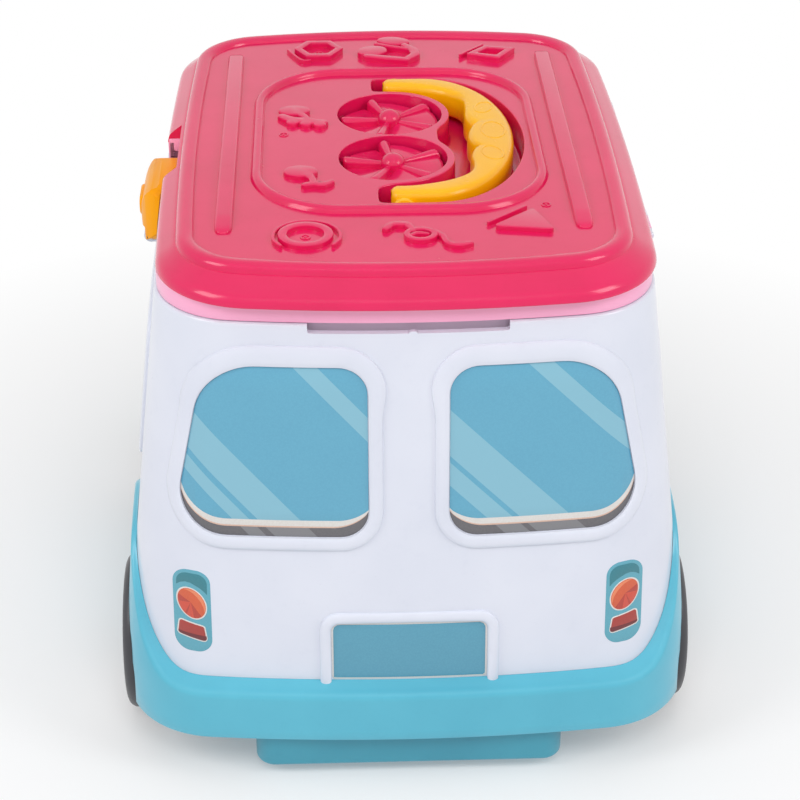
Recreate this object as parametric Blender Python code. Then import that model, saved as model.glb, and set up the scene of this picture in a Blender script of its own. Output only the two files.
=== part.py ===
import math

import bmesh
import bpy
from mathutils import Matrix, Vector

# Toy ambulance that is also a carry case. Metres, +Z up, +Y towards the
# vehicle's front, origin on the floor under the middle of the bounding box.

mm = 0.001
gap = 0.3 * mm                      # between pieces that touch

# Body shell
body_half_width = 95.5 * mm         # at the rim
body_half_length = 127.7 * mm       # at the rim
body_side_flare = 0.117             # outward, for each unit down
body_end_flare = 0.094
body_sill_flare = 0.05              # below the fender tops
body_corner = 26.0 * mm
body_side_bow = 3.0 * mm
body_end_bow = 9.0 * mm
body_wall = 2.6 * mm
rim_height = 196.5 * mm
floor_thickness = 3.0 * mm
finger_notch_width = 73.2 * mm
finger_notch_depth = 5.5 * mm

# Windows, lamps and plate, as outlines on the end faces
window_inner_x = 15.1 * mm
window_top_inset = 20.0 * mm        # of its upper corner from the body's side
window_low_inset = 5.5 * mm
window_drop = 18.0 * mm             # of its top below the rim
window_above_lamp = 15.4 * mm
frame_width = 5.4 * mm
frame_proud = 1.0 * mm
pane_recess = 0.4 * mm
pane_thickness = 0.6 * mm
side_window_length = 82.0 * mm
window_pillar = 16.0 * mm           # between the side window and the cab's
cab_window_length = 56.0 * mm
cab_window_inset = 31.7 * mm        # from the body's front end
side_window_drop = 28.5 * mm        # below the rim
side_window_above_fender = 20.0 * mm
lamp_inset = 11.9 * mm              # of the lamp's middle from the body's side
lamp_rise = 31.2 * mm               # above the bumper
lamp_width = 14.4 * mm
lamp_height = 36.0 * mm
headlamp_inset = 21.5 * mm
headlamp_rise = 34.0 * mm
headlamp_radius = 14.0 * mm
plate_half_width = 34.6 * mm
plate_height = 31.7 * mm            # above the bumper
plate_frame = 4.4 * mm
plate_frame_proud = 1.8 * mm
skin_bite = 1.0 * mm                # of a raised pad into the body's wall

# Bumper skirt
skirt_foot = 22.0 * mm
skirt_side_ledge = 3.7 * mm         # outside the body, at the bumper's top
skirt_end_ledge = 8.0 * mm
skirt_corner = 30.0 * mm
skirt_wall = 2.6 * mm
skirt_lip = 3.0 * mm                # depth of the lip that meets the body
bumper_top = 44.0 * mm
fender_rise = 48.0 * mm             # of the fender above the bumper top
fender_reach = 39.6 * mm
fender_sharpness = 4.2              # how steeply its edge falls to the bumper
fender_lean = 0.085                 # inward, for each unit of rise
fender_end_lean = 0.19
bumper_lean = 0.04
plate_clearance = 1.5 * mm          # of the chassis plate above the axles
plate_thickness = 3.0 * mm

# Wheels
wheel_radius = 32.0 * mm
wheel_width = 23.0 * mm
wheel_proud = 0.2 * mm              # of the tyre's outer face
wheel_overhang = 64.0 * mm          # from the axle to the bumper's end
hub_radius = 20.4 * mm
arch_clearance = 5.0 * mm
well_wall = 2.4 * mm
well_roof_gap = 0.6 * mm            # under the storage floor
axle_radius = 2.5 * mm
bearing_width = 7.0 * mm
bearing_length = 18.0 * mm

# Floor pan
pan_side_inset = 25.0 * mm          # from the wheel wells' inner side
pan_end_inset = 6.0 * mm            # from the bumper's end
pan_foot = 5.0 * mm
pan_wall = 2.6 * mm
pan_corner = 8.0 * mm

# Lid
lid_side_overhang = 2.0 * mm
lid_end_overhang = 3.7 * mm
lid_corner = 30.0 * mm
lid_side_bow = 3.0 * mm
lid_end_bow = 9.5 * mm
lid_crown = 10.4 * mm               # of the panel above the lid's lower edge
lid_wall = 2.6 * mm
bead_height = 2.0 * mm              # of the bead round the lid
liner_inset = 2.9 * mm
liner_thickness = 2.2 * mm
liner_rim_lap = 0.8 * mm            # of the liner's rim inside the lid's edge
liner_rim_wall = 2.0 * mm
rib_inset = 29.7 * mm               # of the long ribs from the lid's side
rib_width = 7.0 * mm
rib_rear_inset = 48.4 * mm
rib_front_inset = 39.4 * mm
rib_height = 2.4 * mm
frame_bead_margin = 11.2 * mm       # round the handle
frame_bead_end_margin = 13.4 * mm
frame_bead_corner = 38.0 * mm
frame_bead_width = 5.0 * mm
frame_bead_height = 2.4 * mm
lid_detail_y = 1.5 * mm             # middle of the handle and its bead
relief_height = 2.6 * mm

# Spinning fans in the lid
fan_x = -2.0 * mm
fan_mean_y = 3.5 * mm
fan_wall = 0.6 * mm                 # between the wells
fan_well_radius = 22.2 * mm
fan_well_depth = 9.6 * mm
fan_floor_thickness = 2.4 * mm
fan_clearance = 1.0 * mm
fan_hub_radius = 5.3 * mm
fan_blades = 5
fan_shaft_radius = 1.5 * mm
collar_width = 2.8 * mm

# Carry handle, folded flat
handle_pivot_x = 1.0 * mm
handle_root = 5.0 * mm              # arm end beyond the pivot
handle_half_span = 59.6 * mm        # outer faces of the arms
handle_arm = 9.0 * mm
handle_bend_x = 12.0 * mm
handle_reach = 35.8 * mm            # from the bend to the grip's outer edge
grip_depth = 16.3 * mm
finger_lobe = 3.2 * mm
finger_pitch = 22.0 * mm
handle_proud = 2.4 * mm             # above the panel
handle_thickness = 12.2 * mm
handle_pin_radius = 2.0 * mm
handle_boss_radius = 4.4 * mm
pocket_clearance = 4.5 * mm
pocket_root_clearance = 4.8 * mm
pocket_floor_gap = 2.1 * mm         # under the handle
pocket_wall = 1.8 * mm

# Side latch
latch_width = 38.0 * mm
latch_y = 1.5 * mm
latch_pivot_drop = 20.5 * mm        # of the pin below the rim
latch_knuckle = 2.9 * mm
latch_pin_radius = 1.2 * mm
latch_plate = 5.2 * mm
latch_arm_thickness = 2.6 * mm
latch_notch_play = 2.5 * mm         # beside the latch
latch_notch_depth = 8.6 * mm        # into the lid's side, from its lower edge

# Lid hinge
hinge_y = 55.0 * mm
hinge_length = 22.0 * mm
hinge_knuckle = 2.1 * mm
hinge_pin_radius = 0.9 * mm
hinge_rise = 2.7 * mm               # of the pin above the rim
hinge_offset = 0.5 * mm             # outside the body's side at the rim

# Screws
screw_radius = 1.5 * mm
screw_head_radius = 3.2 * mm
screw_head_height = 1.6 * mm
boss_radius = 4.6 * mm
pan_seat = 4.4 * mm                 # thickness of the pan round its sunk screw heads
body_screw_depth = 12.0 * mm        # into the body
pan_screw_length = 16.0 * mm
body_screw_inset = 47.5 * mm        # from the body's side
body_screw_end_inset = 9.7 * mm
pan_screw_inset = 19.0 * mm
pan_screw_spacing = 30.0 * mm       # from the axle
lid_screw_inset = 15.5 * mm
lid_screw_end_inset = 27.4 * mm

# Points on a quarter of an outline in plan
end_steps = 3
corner_steps = 4
side_marks = (1.0, 0.5, 0.0)        # along a plain side, as shares of its length
fender_marks = (0.3, -0.3, -0.62, -0.8, -0.95, -1.1, -1.3, -1.6)  # round a wheel, in fender reaches
reach = 300.0 * mm                  # longer than any cutter needs


for thing in list(bpy.data.objects):
    bpy.data.objects.remove(thing)


def plastic(name, colour, roughness, metallic=0.0):
    material = bpy.data.materials.new(name)
    material.use_nodes = True
    shader = material.node_tree.nodes["Principled BSDF"]
    shader.inputs["Base Color"].default_value = (*colour, 1.0)
    shader.inputs["Roughness"].default_value = roughness
    shader.inputs["Metallic"].default_value = metallic
    return material


white_plastic = plastic("white_plastic", (0.86, 0.87, 0.92), 0.25)
turquoise_plastic = plastic("turquoise_plastic", (0.11, 0.52, 0.66), 0.3)
deep_turquoise_plastic = plastic("deep_turquoise_plastic", (0.06, 0.37, 0.46), 0.35)
crimson_plastic = plastic("crimson_plastic", (0.82, 0.07, 0.19), 0.25)
pink_plastic = plastic("pink_plastic", (0.80, 0.35, 0.52), 0.3)
yellow_plastic = plastic("yellow_plastic", (1.0, 0.47, 0.03), 0.3)
tyre_plastic = plastic("tyre_plastic", (0.035, 0.035, 0.04), 0.45)
hub_plastic = plastic("hub_plastic", (0.72, 0.73, 0.76), 0.3)
steel = plastic("steel", (0.56, 0.57, 0.58), 0.3, 1.0)
window_print = plastic("window_print", (0.15, 0.42, 0.58), 0.3)
lamp_print = plastic("lamp_print", (0.08, 0.36, 0.44), 0.3)
plate_print = plastic("plate_print", (0.08, 0.38, 0.46), 0.35)


# Meshes

def new_object(name, points, faces):
    mesh = bpy.data.meshes.new(name)
    mesh.from_pydata([tuple(p) for p in points], [], faces)
    mesh.validate()
    shape = bmesh.new()
    shape.from_mesh(mesh)
    bmesh.ops.recalc_face_normals(shape, faces=shape.faces)
    shape.to_mesh(mesh)
    shape.free()
    thing = bpy.data.objects.new(name, mesh)
    bpy.context.scene.collection.objects.link(thing)
    return thing


def combine(target, tool, operation):
    modifier = target.modifiers.new("combine", "BOOLEAN")
    modifier.operation = operation
    modifier.solver = "EXACT"
    modifier.object = tool
    bpy.context.view_layer.update()
    graph = bpy.context.evaluated_depsgraph_get()
    result = bpy.data.meshes.new_from_object(target.evaluated_get(graph))
    target.modifiers.clear()
    target.data = result
    bpy.data.objects.remove(tool)
    return target


def cut(target, *tools):
    for tool in tools:
        combine(target, tool, "DIFFERENCE")
    return target


def join(target, *tools):
    for tool in tools:
        combine(target, tool, "UNION")
    return target


def common(target, tool):
    return combine(target, tool, "INTERSECT")


def loft(name, rings):
    # Rings of as many points each, from bottom to top, closed by flat ends
    count = len(rings[0])
    points = [p for ring in rings for p in ring]
    faces = [tuple(range(count))[::-1]]
    for level in range(len(rings) - 1):
        base = level * count
        for i in range(count):
            j = (i + 1) % count
            faces.append((base + i, base + j, base + count + j, base + count + i))
    top = (len(rings) - 1) * count
    faces.append(tuple(range(top, top + count)))
    return new_object(name, points, faces)


def hoop(name, sections):
    # Closed sections of as many points each, joined round in a closed band
    count = len(sections[0])
    points = [p for section in sections for p in section]
    faces = []
    for i in range(len(sections)):
        here = i * count
        there = ((i + 1) % len(sections)) * count
        for j in range(count):
            k = (j + 1) % count
            faces.append((here + j, there + j, there + k, here + k))
    return new_object(name, points, faces)


def along(axis, a, b, t):
    # Outline point (a, b) at distance t along the axis
    if axis == "X":
        return (t, a, b)
    if axis == "Y":
        return (a, t, b)
    return (a, b, t)


def prism(name, outline, axis, low, high):
    return loft(name, [[along(axis, a, b, t) for a, b in outline] for t in (low, high)])


def box(name, low, high):
    corners = [(low[0], low[1]), (high[0], low[1]), (high[0], high[1]), (low[0], high[1])]
    return prism(name, corners, "Z", low[2], high[2])


def circle(a, b, radius, steps):
    return [(a + radius * math.cos(math.tau * i / steps), b + radius * math.sin(math.tau * i / steps))
            for i in range(steps)]


def rod(name, axis, a, b, radius, low, high, steps=16):
    return prism(name, circle(a, b, radius, steps), axis, low, high)


def rounded(corners, steps=3):
    # Polygon with an arc at each corner, given as (a, b, radius)
    outline = []
    count = len(corners)
    for i, (a, b, radius) in enumerate(corners):
        here = Vector((a, b))
        back = (Vector(corners[i - 1][:2]) - here).normalized()
        ahead = (Vector(corners[(i + 1) % count][:2]) - here).normalized()
        half = back.angle(ahead) / 2.0
        if radius <= 0.0:
            outline.append((a, b))
            continue
        centre = here + (back + ahead).normalized() * radius / math.sin(half)
        start = here + back * radius / math.tan(half) - centre
        end = here + ahead * radius / math.tan(half) - centre
        turn = start.angle_signed(end)
        for step in range(steps + 1):
            spoke = start.copy()
            spoke.rotate(Matrix.Rotation(-turn * step / steps, 2))
            outline.append(tuple(centre + spoke))
    return outline


def grown(corners, by):
    # The same polygon with every side moved out by a distance and every arc grown
    count = len(corners)
    area = sum(corners[i - 1][0] * corners[i][1] - corners[i][0] * corners[i - 1][1] for i in range(count))
    side = 1.0 if area > 0.0 else -1.0
    result = []
    for i, (a, b, radius) in enumerate(corners):
        here = Vector((a, b))
        ahead = (Vector(corners[(i + 1) % count][:2]) - here).normalized()
        behind = (here - Vector(corners[i - 1][:2])).normalized()
        normal_ahead = Vector((ahead.y, -ahead.x)) * side
        normal_behind = Vector((behind.y, -behind.x)) * side
        bisector = normal_ahead + normal_behind
        moved = here + bisector * by / (1.0 + normal_ahead.dot(normal_behind))
        result.append((moved.x, moved.y, max(radius + by, 0.0)))
    return result


def mirrored(outline):
    return [(-a, *rest) for a, *rest in outline][::-1]


def turned(name, profile, axis, centre, steps, side=1.0):
    # Profile of (distance along the axis, radius), closed through the axis
    rings = []
    for t, radius in profile:
        rings.append([along(axis, centre[0] + radius * math.cos(math.tau * i / steps),
                            centre[1] + radius * math.sin(math.tau * i / steps), side * t)
                      for i in range(steps)])
    return loft(name, rings)


def plan(half_width, half_length, side_bow, end_bow, corner, marks=()):
    # Rounded rectangle whose four sides are shallow arcs, counter-clockwise;
    # marks are the lengthwise places of a side's points, if not the plain ones
    end_radius = (half_width ** 2 + end_bow ** 2) / (2.0 * end_bow)
    side_radius = (half_length ** 2 + side_bow ** 2) / (2.0 * side_bow)
    end_centre = Vector((0.0, half_length - end_radius))
    side_centre = Vector((half_width - side_radius, 0.0))
    span = side_centre - end_centre
    near = end_radius - corner
    far = side_radius - corner
    along_span = (near ** 2 - far ** 2 + span.length_squared) / (2.0 * span.length)
    across = math.sqrt(near ** 2 - along_span ** 2)
    unit = span.normalized()
    middle = end_centre + unit * along_span
    offset = Vector((-unit.y, unit.x)) * across
    centre = max((middle + offset, middle - offset), key=lambda p: p.x + p.y)
    end_turn = math.atan2(centre.x, centre.y - end_centre.y)
    side_turn = math.atan2(centre.y, centre.x - side_centre.x)
    quarter = []
    for i in range(end_steps):
        turn = end_turn * i / end_steps
        quarter.append((end_radius * math.sin(turn), end_centre.y + end_radius * math.cos(turn)))
    for i in range(corner_steps + 1):
        turn = math.pi / 2.0 - end_turn
        turn += (side_turn - turn) * i / corner_steps
        quarter.append((centre.x + corner * math.cos(turn), centre.y + corner * math.sin(turn)))
    side_end = side_radius * math.sin(side_turn)
    for y in marks or [side_end * mark for mark in side_marks[1:]]:
        quarter.append((side_centre.x + math.sqrt(side_radius ** 2 - y ** 2), y))
    right = quarter + [(x, -y) for x, y in quarter[-2::-1]]
    left = [(-x, y) for x, y in right[-2:0:-1]]
    return (right + left)[::-1]


# Body shell

fender_top = bumper_top + fender_rise
arch_radius = wheel_radius + arch_clearance
plate_level = wheel_radius + axle_radius + plate_clearance
plate_top_level = plate_level + plate_thickness
body_foot = plate_top_level + gap
floor_bottom = wheel_radius + arch_radius + well_wall + well_roof_gap
floor_top = floor_bottom + floor_thickness
window_top_x = body_half_width - window_top_inset
window_low_x = body_half_width - window_low_inset
window_top = rim_height - window_drop
lamp_centre_x = body_half_width - lamp_inset
lamp_centre_z = bumper_top + lamp_rise
headlamp_centre_x = body_half_width - headlamp_inset
headlamp_centre_z = bumper_top + headlamp_rise
window_bottom = lamp_centre_z + lamp_height / 2.0 + window_above_lamp
side_window_top = rim_height - side_window_drop
side_window_bottom = fender_top + side_window_above_fender
cab_window_front = body_half_length - cab_window_inset
cab_window_rear = cab_window_front - cab_window_length
side_window_front = cab_window_rear - window_pillar
side_window_rear = side_window_front - side_window_length
plate_top = bumper_top + plate_height


def body_size(z):
    # Half width and half length of the body's outside at a height
    drop = rim_height - z
    above = min(drop, rim_height - fender_top)
    below = max(drop - above, 0.0)
    half_width = body_half_width + body_side_flare * above + body_sill_flare * below
    return half_width, body_half_length + body_end_flare * drop


skirt_half_width = body_size(bumper_top)[0] + skirt_side_ledge
skirt_half_length = body_size(bumper_top)[1] + skirt_end_ledge
wheel_half_base = skirt_half_length - wheel_overhang
wheel_outer_face = skirt_half_width + wheel_proud
wheel_inner_face = wheel_outer_face - wheel_width
well_inner_x = wheel_inner_face - arch_clearance
pan_half_width = well_inner_x - pan_side_inset
pan_half_length = skirt_half_length - pan_end_inset


def body_ring(z, out=0.0, marks=()):
    half_width, half_length = body_size(z)
    outline = plan(half_width + out, half_length + out, body_side_bow, body_end_bow, body_corner + out, marks)
    return [(x, y, z) for x, y in outline]


def body_loft(name, out, low, high):
    levels = [low] + [z for z in (fender_top,) if low < z < high] + [high]
    return loft(name, [body_ring(z, out) for z in levels])


def in_skin(tool, inner, outer):
    # What of a tool lies between two offsets of the body's outside
    low = body_foot + 1.0 * mm
    common(tool, body_loft("skin", outer, low, rim_height))
    return cut(tool, body_loft("core", inner, low - 1.0 * mm, rim_height + 1.0 * mm))


def rear_window_corners():
    return [
        (window_inner_x, window_top, 11.0 * mm),
        (window_top_x, window_top, 24.0 * mm),
        (window_low_x, window_bottom, 17.0 * mm),
        (window_inner_x, window_bottom, 11.0 * mm),
    ]


def windscreen_corners():
    return [
        (-window_top_x, window_top, 24.0 * mm),
        (window_top_x, window_top, 24.0 * mm),
        (window_low_x, window_bottom, 17.0 * mm),
        (-window_low_x, window_bottom, 17.0 * mm),
    ]


def side_window_corners(rear, front, front_lean=0.0):
    return [
        (rear, side_window_top, 12.0 * mm),
        (front - front_lean, side_window_top, 12.0 * mm),
        (front, side_window_bottom, 12.0 * mm),
        (rear, side_window_bottom, 12.0 * mm),
    ]


def lamp_corners():
    low = lamp_centre_z - lamp_height / 2.0
    high = lamp_centre_z + lamp_height / 2.0
    left = lamp_centre_x - lamp_width / 2.0
    right = lamp_centre_x + lamp_width / 2.0
    round_off = 5.0 * mm
    return [(left, high, round_off), (right, high, round_off), (right, low, round_off), (left, low, round_off)]


def headlamp_corners():
    left = headlamp_centre_x - headlamp_radius
    right = headlamp_centre_x + headlamp_radius
    low = headlamp_centre_z - headlamp_radius
    high = headlamp_centre_z + headlamp_radius
    radius = headlamp_radius * 0.98
    return [(left, high, radius), (right, high, radius), (right, low, radius), (left, low, radius)]


def plate_corners():
    half_width = plate_half_width - plate_frame
    low = bumper_top + gap
    high = plate_top - plate_frame
    round_off = 3.0 * mm
    return [(-half_width, high, round_off), (half_width, high, round_off),
            (half_width, low, 0.0), (-half_width, low, 0.0)]


class Print:
    # A printed pane: its outline, the face it sits on and the frame's width
    def __init__(self, name, corners, axis, side, material, frame, proud=frame_proud):
        self.name = name
        self.corners = corners
        self.axis = axis
        self.side = side
        self.material = material
        self.frame = frame
        self.proud = proud

    def tool(self, name, by):
        low, high = sorted((self.side * body_half_width * 0.7, self.side * reach))
        return prism(name, rounded(grown(self.corners, by)), self.axis, low, high)

    def pad(self):
        # Solid ground of the frame, which the pocket then opens; none of it reaches the bumper
        ground = in_skin(self.tool("pad", self.frame), -skin_bite, self.proud)
        return cut(ground, box("below", (-reach, -reach, 0.0), (reach, reach, bumper_top + 2.0 * gap)))

    def pocket(self):
        return in_skin(self.tool("pocket", 0.0), -pane_recess - pane_thickness, self.proud + skin_bite)

    def pane(self):
        return in_skin(self.tool(self.name, -gap), gap - pane_recess - pane_thickness, -pane_recess)


def all_prints():
    side_rear = side_window_corners(side_window_rear, side_window_front)
    cab = side_window_corners(cab_window_rear, cab_window_front, 14.0 * mm)
    window = rear_window_corners()
    lamp = lamp_corners()
    head = headlamp_corners()
    return [
        Print("rear_window_right", window, "Y", -1, window_print, frame_width),
        Print("rear_window_left", mirrored(window), "Y", -1, window_print, frame_width),
        Print("windscreen", windscreen_corners(), "Y", 1, window_print, frame_width),
        Print("side_window_right", side_rear, "X", 1, window_print, frame_width),
        Print("side_window_left", side_rear, "X", -1, window_print, frame_width),
        Print("cab_window_right", cab, "X", 1, window_print, frame_width),
        Print("cab_window_left", cab, "X", -1, window_print, frame_width),
        Print("tail_lamp_right", lamp, "Y", -1, lamp_print, 0.0),
        Print("tail_lamp_left", mirrored(lamp), "Y", -1, lamp_print, 0.0),
        Print("headlamp_right", head, "Y", 1, lamp_print, 0.0),
        Print("headlamp_left", mirrored(head), "Y", 1, lamp_print, 0.0),
        Print("number_plate", plate_corners(), "Y", -1, plate_print, plate_frame, plate_frame_proud),
    ]


def arch_outline(y, radius, foot):
    # Upside-down U over a wheel
    steps = 10
    top = [(y + radius * math.cos(math.pi * i / steps), wheel_radius + radius * math.sin(math.pi * i / steps))
           for i in range(steps + 1)]
    return [(y + radius, foot)] + top + [(y - radius, foot)]


def wheel_places():
    for end, y in (("rear", -wheel_half_base), ("front", wheel_half_base)):
        for name, side in (("left", -1), ("right", 1)):
            yield end, name, side, y


def arch_tool(name, side, y, radius, x_from, x_to, foot):
    low, high = sorted((side * x_from, side * x_to))
    return prism(name, arch_outline(y, radius, foot), "X", low, high)


latch_pivot_z = rim_height - latch_pivot_drop
latch_pivot_x = -(body_size(latch_pivot_z)[0] + latch_knuckle + 2.0 * gap)
latch_lug_width = 5.0 * mm
latch_lug_offset = latch_width / 2.0 - 9.0 * mm
hinge_x = body_half_width + hinge_offset
hinge_z = rim_height + hinge_rise
hinge_lug = 5.0 * mm


def knuckle(name, x, z, radius, y_low, y_high, foot_x, foot_low, foot_high):
    # A round lug along Y with a foot that reaches back to its wall
    barrel = rod(name, "Y", x, z, radius, y_low, y_high, 10)
    inner, outer = sorted((foot_x, x))
    foot = box("foot", (inner, y_low, foot_low), (outer, y_high, foot_high))
    return join(barrel, foot)


def body_shell():
    chamfer = 0.8 * mm
    top = [body_ring(rim_height - chamfer), body_ring(rim_height, -chamfer)]
    shell = loft("body_shell", [body_ring(body_foot), body_ring(fender_top)] + top)
    inside = [body_ring(floor_top, -body_wall), body_ring(rim_height + 5.0 * mm, -body_wall)]
    under = [body_ring(body_foot - 5.0 * mm, -body_wall), body_ring(floor_bottom, -body_wall)]
    cut(shell, loft("inside", inside), loft("under", under))
    notch_low = rim_height - finger_notch_depth
    notch = rounded([
        (-finger_notch_width / 2.0, rim_height + 5.0 * mm, 0.0),
        (finger_notch_width / 2.0, rim_height + 5.0 * mm, 0.0),
        (finger_notch_width / 2.0, notch_low, 1.5 * mm),
        (-finger_notch_width / 2.0, notch_low, 1.5 * mm),
    ], 3)
    cut(shell, prism("notch", notch, "Y", -reach, -body_half_length / 2.0))
    for end, name, side, y in wheel_places():
        cut(shell, arch_tool("wheel_room", side, y, arch_radius + well_wall + gap,
                             well_inner_x - well_wall - gap, reach, -10.0 * mm))
    for x, y in body_screw_places():
        boss = rod("boss", "Z", x, y, boss_radius, body_foot, floor_bottom + 1.0 * mm, 8)
        join(shell, boss)
        bore_top = body_foot + body_screw_depth + 2.0 * mm
        cut(shell, rod("hole", "Z", x, y, screw_radius + gap, body_foot - 5.0 * mm, bore_top, 8))
    for item in prints:
        if item.frame:
            join(shell, item.pad())
        cut(shell, item.pocket())
    for lug_y in (latch_y - latch_lug_offset, latch_y + latch_lug_offset):
        low = lug_y - latch_lug_width / 2.0
        foot_x = -body_half_width + body_wall / 2.0
        lug = knuckle("latch_lug", latch_pivot_x, latch_pivot_z, latch_knuckle, low, low + latch_lug_width,
                      foot_x, latch_pivot_z - latch_knuckle, latch_pivot_z + 0.5 * mm)
        join(shell, lug)
    cut(shell, rod("latch_bore", "Y", latch_pivot_x, latch_pivot_z, latch_pin_radius + gap,
                   latch_y - latch_width, latch_y + latch_width, 8))
    for y in hinge_places():
        for low in (y - hinge_length / 2.0, y + hinge_length / 2.0 - hinge_lug):
            foot_x = body_half_width - body_wall / 2.0
            lug = knuckle("hinge_lug", hinge_x, hinge_z, hinge_knuckle, low, low + hinge_lug,
                          foot_x, rim_height - 6.0 * mm, rim_height - 0.5 * mm)
            stem_low = hinge_x - hinge_knuckle * 0.7
            stem = box("stem", (stem_low, low, rim_height - 3.0 * mm), (hinge_x + hinge_knuckle * 0.7,
                       low + hinge_lug, hinge_z))
            join(shell, join(lug, stem))
        cut(shell, rod("hinge_bore", "Y", hinge_x, hinge_z, hinge_pin_radius + gap, y - hinge_length,
                       y + hinge_length, 8))
    return shell


def hinge_places():
    return (-hinge_y, hinge_y)


def body_screw_places():
    x = body_half_width - body_screw_inset
    y = body_half_length - body_screw_end_inset
    return [(sx * x, sy * y) for sx in (-1, 1) for sy in (-1, 1)]


# Bumper skirt with its plate and wheel wells

def skirt_top(y):
    # Height of the skirt's upper edge: a bump over each wheel
    away = (abs(y) - wheel_half_base) / fender_reach
    return bumper_top + fender_rise * math.exp(-abs(away) ** fender_sharpness)


skirt_marks = [wheel_half_base + share * fender_reach for share in fender_marks] + [0.0]


def skirt_ring(z, inset=0.0):
    # Outside of the skirt at a height, as plan points
    above = max(z - bumper_top, 0.0)
    half_width = skirt_half_width - fender_lean * above - inset
    half_length = skirt_half_length - bumper_lean * (z - skirt_foot) - fender_end_lean * above - inset
    return plan(half_width, half_length, body_side_bow, body_end_bow, skirt_corner - inset, skirt_marks)


def skirt_loft(name, inset):
    levels = (skirt_foot - 1.0 * mm, bumper_top, fender_top)
    return loft(name, [[(x, y, z) for x, y in skirt_ring(z, inset)] for z in levels])


def chassis_skirt():
    columns = []
    count = len(skirt_ring(skirt_foot))
    for i in range(count):
        top = skirt_top(skirt_ring(bumper_top)[i][1])
        shoulder = 2.4 * mm
        section = []
        for z in (skirt_foot, bumper_top - 2.0 * shoulder, top - shoulder):
            section.append((*skirt_ring(z)[i], z))
        lip_x, lip_y, _ = body_ring(top, gap, skirt_marks)[i]
        edge_x, edge_y = skirt_ring(top)[i]
        section.append((edge_x + (lip_x - edge_x) * 0.3, edge_y + (lip_y - edge_y) * 0.3, top - 0.4 * mm))
        section.append((lip_x, lip_y, top + 0.2 * mm))
        low = top - skirt_lip
        under_x, under_y, _ = body_ring(low, gap, skirt_marks)[i]
        section.append((under_x, under_y, low))
        for z in (low - 0.4 * mm, skirt_foot):
            inner = skirt_ring(z, skirt_wall)[i]
            clear = body_ring(max(z, body_foot), gap, skirt_marks)[i]
            keep = inner if abs(inner[0]) > abs(clear[0]) or abs(inner[1]) > abs(clear[1]) else clear
            section.append((keep[0], keep[1], z))
        columns.append(section)
    return hoop("chassis", columns)


def chassis():
    frame = chassis_skirt()
    inset = skirt_wall - 0.6 * mm
    levels = [[(x, y, z) for x, y in skirt_ring(z, inset)] for z in (plate_level, plate_top_level)]
    join(frame, loft("plate", levels))
    for end, name, side, y in wheel_places():
        well = arch_tool("well", side, y, arch_radius + well_wall, well_inner_x - well_wall, reach, plate_level)
        join(frame, common(well, skirt_loft("skirt_core", skirt_wall * 0.45)))
    for end, name, side, y in wheel_places():
        cut(frame, arch_tool("well_room", side, y, arch_radius, well_inner_x, reach, -10.0 * mm))
        low, high = sorted((side * pan_half_width, side * wheel_outer_face))
        cut(frame, rod("axle_hole", "X", y, wheel_radius, axle_radius + 1.5 * mm, low, high, 8))
    for x, y in body_screw_places():
        cut(frame, rod("hole", "Z", x, y, screw_radius + gap, 0.0, plate_top_level + 5.0 * mm, 8))
    for x, y in pan_screw_places():
        boss = rod("boss", "Z", x, y, boss_radius, pan_foot + pan_seat + gap, plate_level + 1.0 * mm, 8)
        join(frame, boss)
        cut(frame, rod("hole", "Z", x, y, screw_radius + gap, 0.0, pan_foot + pan_screw_length + 2.0 * mm, 8))
    return frame


def pan_screw_places():
    x = pan_half_width - pan_screw_inset
    y = wheel_half_base - pan_screw_spacing
    return [(sx * x, sy * y) for sx in (-1, 1) for sy in (-1, 1)]


def floor_pan():
    def corners(inset):
        half_width = pan_half_width - inset
        half_length = pan_half_length - inset
        radius = pan_corner - inset
        return rounded([(-half_width, -half_length, radius), (half_width, -half_length, radius),
                        (half_width, half_length, radius), (-half_width, half_length, radius)], 4)

    chamfer = 1.5 * mm
    levels = [(pan_foot, chamfer), (pan_foot + chamfer, 0.0), (plate_level - gap, 0.0)]
    pan = loft("floor_pan", [[(x, y, z) for x, y in corners(inset)] for z, inset in levels])
    room = [[(x, y, z) for x, y in corners(pan_wall)] for z in (pan_foot + pan_wall, plate_level + 5.0 * mm)]
    cut(pan, loft("pan_room", room))
    for y in (-wheel_half_base, wheel_half_base):
        slot = rounded([
            (y - axle_radius - gap, plate_level + 5.0 * mm, 0.0),
            (y + axle_radius + gap, plate_level + 5.0 * mm, 0.0),
            (y + axle_radius + gap, wheel_radius - axle_radius - gap, axle_radius),
            (y - axle_radius - gap, wheel_radius - axle_radius - gap, axle_radius),
        ], 4)
        cut(pan, prism("axle_slot", slot, "X", -reach, reach))
    for x, y in pan_screw_places():
        seat_radius = screw_head_radius + 2.0 * mm
        join(pan, rod("seat", "Z", x, y, seat_radius, pan_foot + pan_wall - 1.0 * mm, pan_foot + pan_seat, 8))
        sink_top = pan_foot + screw_head_height + 2.0 * gap
        cut(pan, rod("sink", "Z", x, y, screw_head_radius + gap, 0.0, sink_top, 8))
        cut(pan, rod("hole", "Z", x, y, screw_radius + gap, 0.0, 20.0 * mm, 8))
    return pan


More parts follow.
